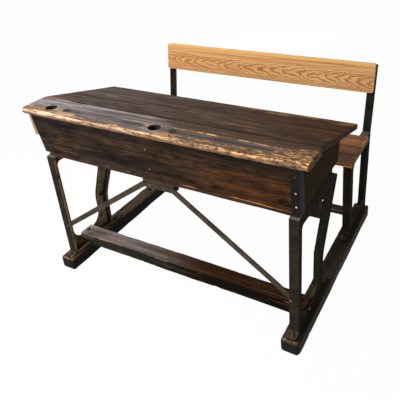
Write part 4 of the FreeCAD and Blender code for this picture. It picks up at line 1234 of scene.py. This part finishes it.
@dataclass
class DeskBox(SubAssembly):
    """The box under the lid: leaning front, ends that fall with the lid, back, divider, floor and cleat."""

    front_seed: int = 150
    front_thickness: float = 0.020
    front_flare: float = 0.015
    bare_edge: float = 0.0060
    bare_wave: Ripple = Ripple(151, 0.09, 4)
    lean: float = math.radians(6.0)
    end_seed: int = 160
    lid_clearance: float = 0.0004
    floor_seed: int = 170
    fleck_wave: Ripple = Ripple(171, 0.10, 4)
    board_round: float = 0.0018

    def build(self) -> None:
        """Builds every piece of the box."""
        self.build_front()
        for number, side in enumerate(SIDES):
            self.build_end("box_end_" + side, self.end_seed + number)
        self.build_floor()
        for node, look, grain in (("box_back_panel", Look.INSIDE, Grain.ALONG_X),
                                  ("box_divider", Look.INSIDE, Grain.ALONG_Y),
                                  ("ledge_cleat_left", Look.TAN, Grain.ALONG_Z)):
            self.soft_copy(node, look, self.board_round, grain)

    def build_floor(self) -> None:
        """Bottom board, with a few bare flecks along its front edge."""
        middle, size = spans("box_bottom_board")
        board = Board(size.x, size.y, size.z, self.floor_seed, chip=0.006, wear_reach=0.006)
        surface = board.build(Lay(middle))
        x, y, _ = surface.points.T
        front = bell(y - middle.y + size.y / 2, 0.004)
        surface.wear(0.1, front * (0.10 + 0.20 * ease(x, -0.25, 0.35) + 0.20 * self.fleck_wave.along(x)))
        self.settle("box_bottom_board", surface, Look.FLOOR_BOARD)

    def build_front(self) -> None:
        """Front panel: a board that leans forward as it rises, and whose left end slants outwards."""
        middle, size = spans("box_front_panel")
        thickness = self.front_thickness / math.cos(self.lean)
        board = Board(size.x, size.z, thickness, self.front_seed, edge=0.0022, end_round=0.0008, dish=0.0007,
                      wear_reach=0.012, cross_pitch=0.008)

        def lay(points: Array) -> Array:
            """Leans the board, and draws its left end in towards the bottom.

            Args:
                points: Places in the board's frame.

            Returns:
                The places on the desk.
            """
            along, height, out = points.T
            drawn_in = self.front_flare * (0.5 - along / size.x) * (0.5 - height / size.z)
            y = middle.y - out - height * math.tan(self.lean)
            return np.stack((middle.x + along + drawn_in, y, middle.z + height), axis=-1)

        surface = board.build(lay)
        self.dress_front(surface, middle, size)
        self.settle("box_front_panel", surface, Look.BOX)

    def dress_front(self, surface: Surface, middle: Vector, size: Vector) -> None:
        """Bare wood along the front panel's low edge, painted shade in a band under the ledge, a thin dark
        line above the low edge, and brown glaze at both ends.

        Args:
            surface: The panel's surface, which is changed.
            middle: Middle of the panel.
            size: Its size.
        """
        x, _, z = surface.points.T
        height = (z - middle.z) / size.z + 0.5
        rise = height * size.z
        along = 0.45 + 0.45 * ease(x, -0.08, 0.22) + 0.22 * self.bare_wave.along(x)
        surface.wear(0.3, bell(rise, self.bare_edge) * along)
        # painted shade: a dark band in the top third, under the ledge's overhang; also a thin dark line above
        # the low edge
        surface.values["stain"] = 0.6 * np.maximum(ease(height, 0.66, 1.0), bell(rise - 0.013, 0.003))
        warm = 0.80 * ease(x, 0.02, 0.36) * (1 - ease(height, 0.50, 0.90))
        surface.values["glaze"] = warm + 0.45 * bell(x + 0.42, 0.09) * (1 - ease(height, 0.35, 0.7))

    def build_end(self, node: str, seed: int) -> None:
        """End panel: a board whose four corners are drawn to the leaning front, the lid and the rear edge.

        Args:
            node: CAD node of the panel.
            seed: Seed of its wear.
        """
        middle, size = spans(node)
        low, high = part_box(node)
        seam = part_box("lid_front_board")[0].y
        ledge_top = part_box("pen_ledge")[1].z
        rear_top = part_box("box_back_panel")[1].y
        lid_depth = self.lid_thickness + self.lid_clearance
        fall = math.tan(self.lid_slope)

        def lid_line(y: Array) -> Array:
            """Height of the lid's underside: the seam's, less the lid's depth and the fall behind it."""
            behind = y - seam + lid_depth * math.sin(self.lid_slope)
            return ledge_top - lid_depth * math.cos(self.lid_slope) - behind * fall

        rear_bottom = rear_top - (lid_line(rear_top) - low.z) * fall
        board = Board(size.y, size.z, size.x, seed, edge=0.0018, end_round=0.0012, chip=0.003, dish=0.0006,
                      cross_pitch=0.008)

        def lay(points: Array) -> Array:
            """Spreads the board between its four corners, under the lid's line.

            Args:
                points: Places in the board's frame.

            Returns:
                The places on the desk.
            """
            share, rise = points[:, 0] / size.y + 0.5, points[:, 1] / size.z + 0.5
            start = low.y + (1 - rise) * size.z * math.tan(self.lean)
            y = start + share * (rear_bottom + rise * (rear_top - rear_bottom) - start)
            z = low.z + rise * (np.minimum(lid_line(y), high.z) - low.z)
            return np.stack((middle.x + points[:, 2], y, z), axis=-1)

        self.settle(node, board.build(lay), Look.BOX_END)


@dataclass
class PenLedge(SubAssembly):
    """The level ledge: rounded nosing worn to bare wood, two inkwell holes and two pen grooves."""

    node: str = "pen_ledge"
    seed: int = 210
    hole_radius: float = 0.022
    hole_places: tuple[float, float] = (-0.4512, 0.01692)
    hole_setback: float = 0.046
    hole_square: float = 0.029
    hole_cells: int = 20
    hole_rings: int = 5
    ring_power: float = 0.8
    rim_steps: int = 5
    wall_steps: int = 6
    level_band: float = 0.003
    face_band: float = 0.004
    front_cuts: int = 4
    rear_cuts: int = 16
    rear_margin: float = 0.0025
    rim: float = 0.0018
    nosing: float = 0.01144
    corner: float = 0.008
    gouge: float = 0.0045
    groove_half: float = 0.018
    groove_setback: float = 0.049
    groove_sink: float = 0.0045
    groove_start: float = 0.056
    groove_end: float = 0.430
    rim_line: float = 0.0675
    reach_knots: tuple[tuple[float, float], ...] = (
        (-0.564, 0.050), (-0.500, 0.046), (-0.400, 0.043), (-0.325, 0.040), (-0.305, 0.028), (-0.200, 0.027),
        (-0.140, 0.022), (-0.090, 0.010), (-0.020, 0.009), (0.040, 0.020), (0.100, 0.030), (0.420, 0.032),
        (0.460, 0.060), (0.520, 0.085), (0.564, 0.095))
    reach_wave: Ripple = Ripple(221, 0.10, 4)
    seam_wave: Ripple = Ripple(222, 0.2)
    rim_wave: Ripple = Ripple(223, 0.06)
    tear_wave: Ripple = Ripple(231, 0.055)
    splinter_wave: Ripple = Ripple(232, 0.030)

    def __post_init__(self) -> None:
        """Takes the ledge's place from its node."""
        self.middle, self.size = spans(self.node)
        self.hole_y = self.hole_setback - self.size.y / 2
        pins = spans("hinge_pins")[0] - self.middle
        self.pin = (pins.y, pins.z)

    def depth(self, x: Array, y: Array) -> Array:
        """Depth of the pen grooves: a half ellipse of the distance from each groove's middle line.

        Args:
            x: Places along the ledge.
            y: Places across it, from its middle.

        Returns:
            How far the top is sunk.
        """
        total = np.zeros(np.broadcast(x, y).shape)
        middle = self.groove_setback - self.size.y / 2
        for hole in self.hole_places:
            start = hole + self.groove_start + self.groove_half
            end = hole + self.groove_end - self.groove_half
            beyond = np.maximum(np.maximum(start - x, x - end), 0)
            away = np.hypot(beyond, y - middle) / self.groove_half
            total = total + self.groove_sink * np.sqrt(np.maximum(1 - away**2, 0))
        return total

    def carve(self, grid: Array) -> Array:
        """Sinks the grooves, lets the hinges' knuckles in, and tears the nosing and the top's right end.

        Args:
            grid: Points of the board.

        Returns:
            The points with the hollows.
        """
        x, y, z = np.moveaxis(grid, -1, 0)
        top = z > self.size.z / 2 - self.level_band
        z = np.where(top, z - self.depth(x, y), z)
        y = self.hinges.let_in(np.stack((x, y, z), axis=-1), self.pin, -1)
        front = y + self.size.y / 2
        torn = np.clip(self.tear_wave.over(x, 2.5 * z) - 0.30 + 0.35 * ease(x, 0.15, 0.5), 0, None)
        y = y + self.gouge * torn * (1 - ease(front, 0.4 * self.nosing, self.nosing))
        splinter = np.clip(self.splinter_wave.over(x / 3, y) - 0.15, 0, None) * ease(x, 0.10, 0.45)
        z = z - np.where(top, 0.5 * self.gouge * splinter * (1 - ease(front, 0.050, 0.085)), 0)
        return np.stack((x, y, z), axis=-1)

    def board(self) -> Board:
        """The ledge as a board whose grid has a square of even cells round each hole.

        Returns:
            The board.
        """
        cells = np.linspace(-self.hole_square, self.hole_square, self.hole_cells + 1)
        cuts = self.hole_y + cells
        before = np.linspace(-self.size.y / 2 + self.nosing, cuts[0], self.front_cuts)[1:-1]
        behind = np.linspace(cuts[-1], self.size.y / 2 - self.rear_margin, self.rear_cuts)[1:-1]
        stops = np.concatenate([hole + cells for hole in self.hole_places] + [self.hinges.stops()])
        return Board(*self.size, self.seed, edges=(0.0020, self.nosing, self.nosing, 0.0015), swell=0.10,
                     chip=0.0015, end_round=0.004, plan_round=(self.corner, 0.0), pitch=0.006, arc_steps=9,
                     cuts=np.concatenate((before, cuts, behind)), stops=stops)

    def hole(self, board: Board, place: float) -> Surface:
        """Hole with its worn rim, and the patch of the two faces round it.

        The patch runs in rings from the square of the board's grid to the circle; the wall is a circle whose
        radius grows by a quarter round at both rims.

        Args:
            board: The ledge's board.
            place: Place of the hole along the ledge.

        Returns:
            The surface.
        """
        side = np.linspace(-1, 1, self.hole_cells + 1)[:-1]
        ones = np.ones(self.hole_cells)
        square_x = np.concatenate((side, ones, -side, -ones)) * self.hole_square
        square_y = np.concatenate((-ones, side, ones, -side)) * self.hole_square
        turn = np.arctan2(square_y, square_x)
        share = (np.linspace(0, 1, self.hole_rings + 1) ** self.ring_power)[:, None]
        wide = self.hole_radius + self.rim
        x = place + (1 - share) * square_x + share * wide * np.cos(turn)
        y = self.hole_y + (1 - share) * square_y + share * wide * np.sin(turn)
        half = self.size.z / 2
        top = half - board.sink(x, y, np.full_like(x, half)) - self.depth(x, y)
        low = -half + board.sink(x, y, np.full_like(x, -half))
        curve = np.linspace(0, np.pi / 2, self.rim_steps)[1:, None]
        radius = self.hole_radius + self.rim * (1 - np.sin(curve))
        fall = self.rim * (1 - np.cos(curve))
        wall = np.linspace(0, 1, self.wall_steps)[1:-1, None]
        upper, lower = top[-1] - self.rim, low[-1] + self.rim
        wall_z = upper + wall * (lower - upper)
        rows_z = np.concatenate((top, top[-1] - fall, wall_z, low[-1] + fall[::-1], low[::-1]))
        tube = np.concatenate((radius, np.full_like(wall, self.hole_radius), radius[::-1]))
        rows_x = np.concatenate((x, place + tube * np.cos(turn), x[::-1]))
        rows_y = np.concatenate((y, self.hole_y + tube * np.sin(turn), y[::-1]))
        flat = np.stack((rows_x, rows_y, rows_z), axis=-1).reshape(-1, 3)
        return Surface(flat, [rings(*rows_z.shape)], {"grain": flat + board.shift()})

    def build(self) -> None:
        """Builds the ledge and dresses its wear."""
        board = self.board()
        surface = board.build(lambda points: points, self.carve)
        faces = surface.faces[0]
        x, y, z = surface.points[faces].mean(axis=1).T
        level = np.ptp(surface.points[faces][..., 2], axis=1) < self.level_band
        level &= np.abs(z) > self.size.z / 2 - self.face_band
        kept = np.ones(len(faces), bool)
        for place in self.hole_places:
            away = np.maximum(np.abs(x - place), np.abs(y - self.hole_y))
            kept &= ~(level & (away < self.hole_square))
        surface.faces = [faces[kept]]
        for place in self.hole_places:
            surface = surface.joined(self.hole(board, place))
        self.dress(surface)
        surface.points = surface.points + np.array(self.middle)
        self.settle(self.node, surface, Look.LEDGE)

    def dress(self, surface: Surface) -> None:
        """Wear, painted shade, darker hollows and brown glaze of the ledge.

        The wood is bare as far back from the front edge as a line through the reach knots, along the rear rim
        of the right groove and at the left of the seam. The nosing is worn brightest along its crest; painted
        shade turns the bare wood of its lower half brown. The grooves and the holes' walls are darker, and
        the strip behind the right groove is brown.

        Args:
            surface: The ledge's surface in its own frame, which is changed.
        """
        x, y, z = surface.points.T
        half = self.size.y / 2
        front, rear = y + half, half - y
        upper = z > 0
        nose = 1 - ease(front, 0.5 * self.nosing, self.nosing)
        reach = np.interp(x, *np.array(self.reach_knots).T) + 0.005 * self.reach_wave.along(x)
        bare = 0.68 * np.clip((reach - front) / 0.014 + 0.5, 0, 1)
        crest = 1.12 * nose * bell(z - 0.1125 * half, 0.0050)
        line = 1.20 * bell(front - self.rim_line, 0.0034) * ease(x, 0.05, 0.10) * upper
        line = line * (0.85 + 0.25 * self.rim_wave.along(x))
        seam = np.clip((0.0035 + 0.002 * self.seam_wave.along(x) - rear) / 0.002 + 0.5, 0, 1) * upper
        seam = seam * (0.36 + 0.44 * (1 - ease(x, -0.44, -0.26)))
        end = 0.36 * ease(-x, 0.47, 0.55) * upper
        chip = 1.7 * bell(x - self.hole_places[1] + 0.036, 0.013) * bell(front - 0.050, 0.006) * upper
        surface.wear(0.4, np.maximum.reduce((bare, crest, line, seam, end, chip)))
        # painted shade on the nosing's lower half: its bare wood shows the deep worn brown
        surface.values["shade"] = 0.95 * nose * (1 - ease(z, -0.004, 0.004))
        sunk = np.clip(self.depth(x, y) / self.groove_sink, 0, 1) * upper
        stain = 0.55 * sunk
        for place in self.hole_places:
            stain = stain + 0.5 * sunk * bell(x - place - self.groove_start - 0.008, 0.016)
            away = np.hypot(x - place, y - self.hole_y)
            inside = (away < self.hole_radius + 0.5 * self.rim) & (z < self.size.z / 2 - self.rim)
            stain = np.maximum(stain, inside * 0.8)
        surface.values["stain"] = stain
        strip = ease(front, self.rim_line, self.rim_line + 0.004) * ease(x, -0.05, 0.10)
        surface.values["glaze"] = 0.75 * strip * upper


@dataclass
class Lid(SubAssembly):
    """The lift lid: three boards edge to edge on two battens, with hinges let into its front edge."""

    body: Body = Body.LID
    seed: int = 240
    seed_step: int = 7
    board_edges: tuple[tuple[str, tuple[float, float, float, float]], ...] = (
        ("lid_front_board", (0.0012, 0.0022, 0.0015, 0.001)),
        ("lid_middle_board", (0.0012, 0.0012, 0.001, 0.001)),
        ("lid_back_board", (0.0045, 0.0012, 0.001, 0.0035)))
    rear_corner: float = 0.006
    upright_reach: float = 0.030
    batten_round: float = 0.0022
    crack_span: tuple[float, float] = (-0.28, 0.10)
    rub_wave: Ripple = Ripple(251, 0.09)

    def build(self) -> None:
        """Builds the boards and the battens."""
        for number, (node, edges) in enumerate(self.board_edges):
            self.build_board(node, self.seed + self.seed_step * number, edges)
        for side in SIDES:
            self.soft_copy("lid_batten_" + side, Look.INSIDE, self.batten_round, Grain.ALONG_Y)

    def build_board(self, node: str, seed: int, edges: tuple[float, float, float, float]) -> None:
        """One board of the lid, lying on the slope.

        Args:
            node: CAD node of the board.
            seed: Seed of its wear.
            edges: Mean rounding of its long edges.
        """
        first, last = node == "lid_front_board", node == "lid_back_board"
        low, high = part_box(node)
        sine, cosine = math.sin(self.lid_slope), math.cos(self.lid_slope)
        down_slope, up = Vector((0, cosine, -sine)), Vector((0, sine, cosine))
        start = Vector((0, low.y + self.lid_thickness * sine, high.z))
        if first:
            start = Vector((0, low.y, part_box("pen_ledge")[1].z))
        width = (high.y - start.y) / cosine
        middle = start + down_slope * (width / 2) - up * (self.lid_thickness / 2)
        middle.x = (low.x + high.x) / 2
        board = Board(high.x - low.x, width, self.lid_thickness, seed, edges=edges, swell=0.5,
                      chip=0.006 if last else 0.002, end_round=0.0025,
                      plan_round=(0.0, self.rear_corner if last else 0.0), dish=0.0008, butted=True,
                      wear_reach=0.008, cross_pitch=0.006, stops=self.hinges.stops() if first else ())
        pins = spans("hinge_pins")[0] - middle

        def carve(grid: Array) -> Array:
            """Turns the front edge upright at the seam, and lets the hinges' knuckles into it.

            Args:
                grid: Points of the board.

            Returns:
                The points with the hollows.
            """
            x, y, z = np.moveaxis(grid, -1, 0)
            edge = ease(-y, width / 2 - self.upright_reach, width / 2)
            y = y + (self.lid_thickness / 2 - z) * math.tan(self.lid_slope) * edge
            y = self.hinges.let_in(np.stack((x, y, z), axis=-1), (pins.dot(down_slope), pins.dot(up)), 1)
            return np.stack((x, y, z), axis=-1)

        surface = board.build(Lay(middle, Vector((1, 0, 0)), down_slope), carve if first else None)
        self.dress(surface, board, first, last)
        self.settle(node, surface, Look.LID)

    def dress(self, surface: Surface, board: Board, first: bool, last: bool) -> None:
        """Wear along the seam and the rear edge's right half, and dirt in the joint between boards.

        Args:
            surface: The board's surface, which is changed.
            board: The board.
            first: Whether it is the board at the seam.
            last: Whether it is the rear board.
        """
        x, y, z = (surface.values["grain"] - board.shift()).T
        top = z > 0
        front, rear = y + board.width / 2, board.width / 2 - y
        more = np.zeros_like(x)
        if last:
            patchy = 0.56 + 0.36 * self.rub_wave.over(x / 2.5, y)
            streaks = patchy * bell(rear, 0.105) * ease(x, -0.05, 0.30) * top
            more = np.maximum(streaks, 0.85 * bell(rear, 0.046) * (0.20 + 0.80 * ease(x, -0.12, 0.18)) * top)
        if first:
            more = bell(front, 0.004) * (0.30 + 0.35 * (1 - ease(x, -0.46, -0.34))) * top
            left, right = self.crack_span
            joint = ease(x, left - 0.02, left + 0.02) * (1 - ease(x, right - 0.02, right + 0.02))
            surface.values["stain"] = joint * bell(rear, 0.0040) * top
        surface.wear(0.35, more)


@dataclass
class Bench(SubAssembly):
    """The seat plank, and the pine back that leans on the posts."""

    seat_seed: int = 310
    back_seed: int = 0
    back_thickness: float = 0.020
    back_height: float = 0.126
    back_lean: float = math.radians(9.5)
    back_corner: float = 0.009
    knot_place: tuple[float, float] = (-0.19, 0.025)
    knot_radius: float = 0.004

    def build(self) -> None:
        """Builds the seat and the back."""
        middle, size = spans("seat_plank")
        seat = Board(*size, self.seat_seed, edges=(0.005, 0.006, 0.003, 0.003), end_round=0.004, chip=0.006,
                     dish=0.0011, wear_reach=0.012)
        self.settle("seat_plank", seat.build(Lay(middle)), Look.SEAT)
        middle, size = spans("backrest_plank")
        back = Board(size.x, self.back_height, self.back_thickness, self.back_seed, edge=0.0035, swell=0.25,
                     chip=0.002, end_round=0.0025, plan_round=(self.back_corner, self.back_corner),
                     dish=0.0004, cross_pitch=0.008, wear_reach=0.004)
        up = Vector((0, math.sin(self.back_lean), math.cos(self.back_lean)))
        surface = back.build(Lay(middle, Vector((1, 0, 0)), up))
        x, y, z = surface.values["grain"].T
        # painted highlight: the top band of the back's face takes the bright edge colour
        surface.wear(0.3, ease(y, 0.047, 0.058))
        away = np.hypot(x - self.knot_place[0], y - self.knot_place[1])
        surface.values["stain"] = bell(away, self.knot_radius) * (z < 0)
        self.settle("backrest_plank", surface, Look.PINE)


@dataclass
class Fasteners(SubAssembly):
    """Bolts, screws, nails and hinges, which keep the frame's own solids."""

    def look_of(self, node: str) -> Look:
        """Look of a node: the strap's nails are worn bright, hinges are dark, and the rest is dull steel.

        Args:
            node: CAD node.

        Returns:
            The look.
        """
        if node.endswith("nails"):
            return Look.NAIL if node.startswith("strap") else Look.OLD_NAIL
        return Look.HINGE if node.startswith("hinge") else Look.STEEL

    def build(self) -> None:
        """Gives every fastener and hinge its steel."""
        for entry in frame["record"]["subparts"]:
            if entry["material_slot"] == Slot.STEEL.value:
                mesh = frame["nodes"][entry["node"]].data
                mesh.materials.clear()
                mesh.materials.append(self.materials[self.look_of(entry["node"])])
                log.info("%s: %s", entry["node"], mesh.materials[0].name)


@dataclass(frozen=True)
class Lamp:
    """A soft round lamp."""

    name: str
    place: tuple[float, float, float]
    aim: tuple[float, float, float]
    size: float
    power: float

    def build(self) -> None:
        """Hangs the lamp and points it at its aim."""
        data = bpy.data.lights.new(self.name, "AREA")
        data.shape = "DISK"
        data.size = self.size
        data.energy = self.power
        lamp = bpy.data.objects.new(self.name, data)
        turn = (Vector(self.aim) - Vector(self.place)).to_track_quat("-Z", "Y")
        lamp.matrix_world = Matrix.Translation(self.place) @ turn.to_matrix().to_4x4()
        bpy.context.scene.collection.objects.link(lamp)


@dataclass
class Studio:
    """White floor and surround, soft lamps from the left front and behind, and the photograph's camera."""

    eye: tuple[float, float, float] = (0.965709, -1.560608, 1.413119)
    yaw: float = math.radians(30.237066)
    pitch: float = math.radians(26.698754)
    roll: float = math.radians(-3.760229)
    lens: float = 44.689
    sensor: float = 36.0
    shift: tuple[float, float] = (-0.0732, -0.1485)
    floor_half: float = 9.0
    floor_glow: float = 0.95
    floor_strength: float = 1.03
    floor_tone: float = 0.38
    ambient: float = 0.17
    lamps: tuple[Lamp, ...] = (
        Lamp("key_lamp", (-1.9, -2.3, 3.1), (0.0, 0.0, 0.45), 2.0, 150.0),
        Lamp("low_lamp", (0.1, -2.5, 0.7), (-0.3, 0.3, 0.3), 1.4, 40.0),
        Lamp("back_lamp", (-1.2, 3.2, 0.7), (0.0, 0.2, 0.40), 1.6, 12.0))

    def build(self) -> None:
        """Builds the studio."""
        bpy.context.scene.view_settings.view_transform = "Standard"
        self.build_camera()
        self.build_world()
        self.build_floor()
        for lamp in self.lamps:
            lamp.build()

    def build_camera(self) -> None:
        """Camera from its yaw, pitch and roll: forward, right and up are turned about the sight line."""
        level = math.cos(self.pitch)
        forward = Vector((-math.sin(self.yaw) * level, math.cos(self.yaw) * level, -math.sin(self.pitch)))
        right = Vector((math.cos(self.yaw), math.sin(self.yaw), 0))
        up = right.cross(forward)
        across = right * math.cos(self.roll) + up * math.sin(self.roll)
        above = up * math.cos(self.roll) - right * math.sin(self.roll)
        data = bpy.data.cameras.new("photo_camera")
        data.sensor_fit = "HORIZONTAL"
        data.sensor_width = self.sensor
        data.lens = self.lens
        data.shift_x, data.shift_y = self.shift
        camera = bpy.data.objects.new("photo_camera", data)
        turn = Matrix((across, above, -forward)).transposed().to_4x4()
        camera.matrix_world = Matrix.Translation(self.eye) @ turn
        bpy.context.scene.collection.objects.link(camera)
        bpy.context.scene.camera = camera

    def build_world(self) -> None:
        """World that is white where it is seen, and a softer white as a light."""
        world = bpy.data.worlds.new("white_room")
        world.use_nodes = True
        tree = Tree(world.node_tree)
        strength = self.ambient + (1 - self.ambient) * tree.seen()
        sky = tree.node("ShaderNodeBackground", {}, {"Color": WHITE, "Strength": strength})
        tree.node("ShaderNodeOutputWorld", {}, {"Surface": sky})
        bpy.context.scene.world = world

    def build_floor(self) -> None:
        """Floor: a white glow where it is seen, with enough plain white in it to keep the desk's shadow."""
        half = self.floor_half
        points = np.array(((-half, -half, 0), (half, -half, 0), (half, half, 0), (-half, half, 0)))
        mesh = Surface(points, [np.array(((0, 1, 2, 3),))]).mesh("floor")
        shader = Shader("white_floor")
        plain = shader.node("ShaderNodeBsdfDiffuse", {}, {"Color": (self.floor_tone,) * 3 + (1.0,)})
        glow = shader.node("ShaderNodeEmission", {}, {"Color": WHITE, "Strength": self.floor_strength})
        shares = {0: shader.seen() * self.floor_glow, 1: plain, 2: glow}
        mesh.materials.append(shader.end(shader.node("ShaderNodeMixShader", {}, shares)))
        floor = bpy.data.objects.new("floor", mesh)
        bpy.context.scene.collection.objects.link(floor)


def main() -> None:
    """Builds the studio and every sub-assembly in order."""
    logging.basicConfig(level=logging.INFO, format="%(name)s: %(message)s")
    Studio().build()
    materials = {look: look.value.material() for look in Look}
    for group in (Base, IronWork, DeskBox, PenLedge, Lid, Bench, Fasteners):
        group(materials).build()


if __name__ == "__main__":
    main()
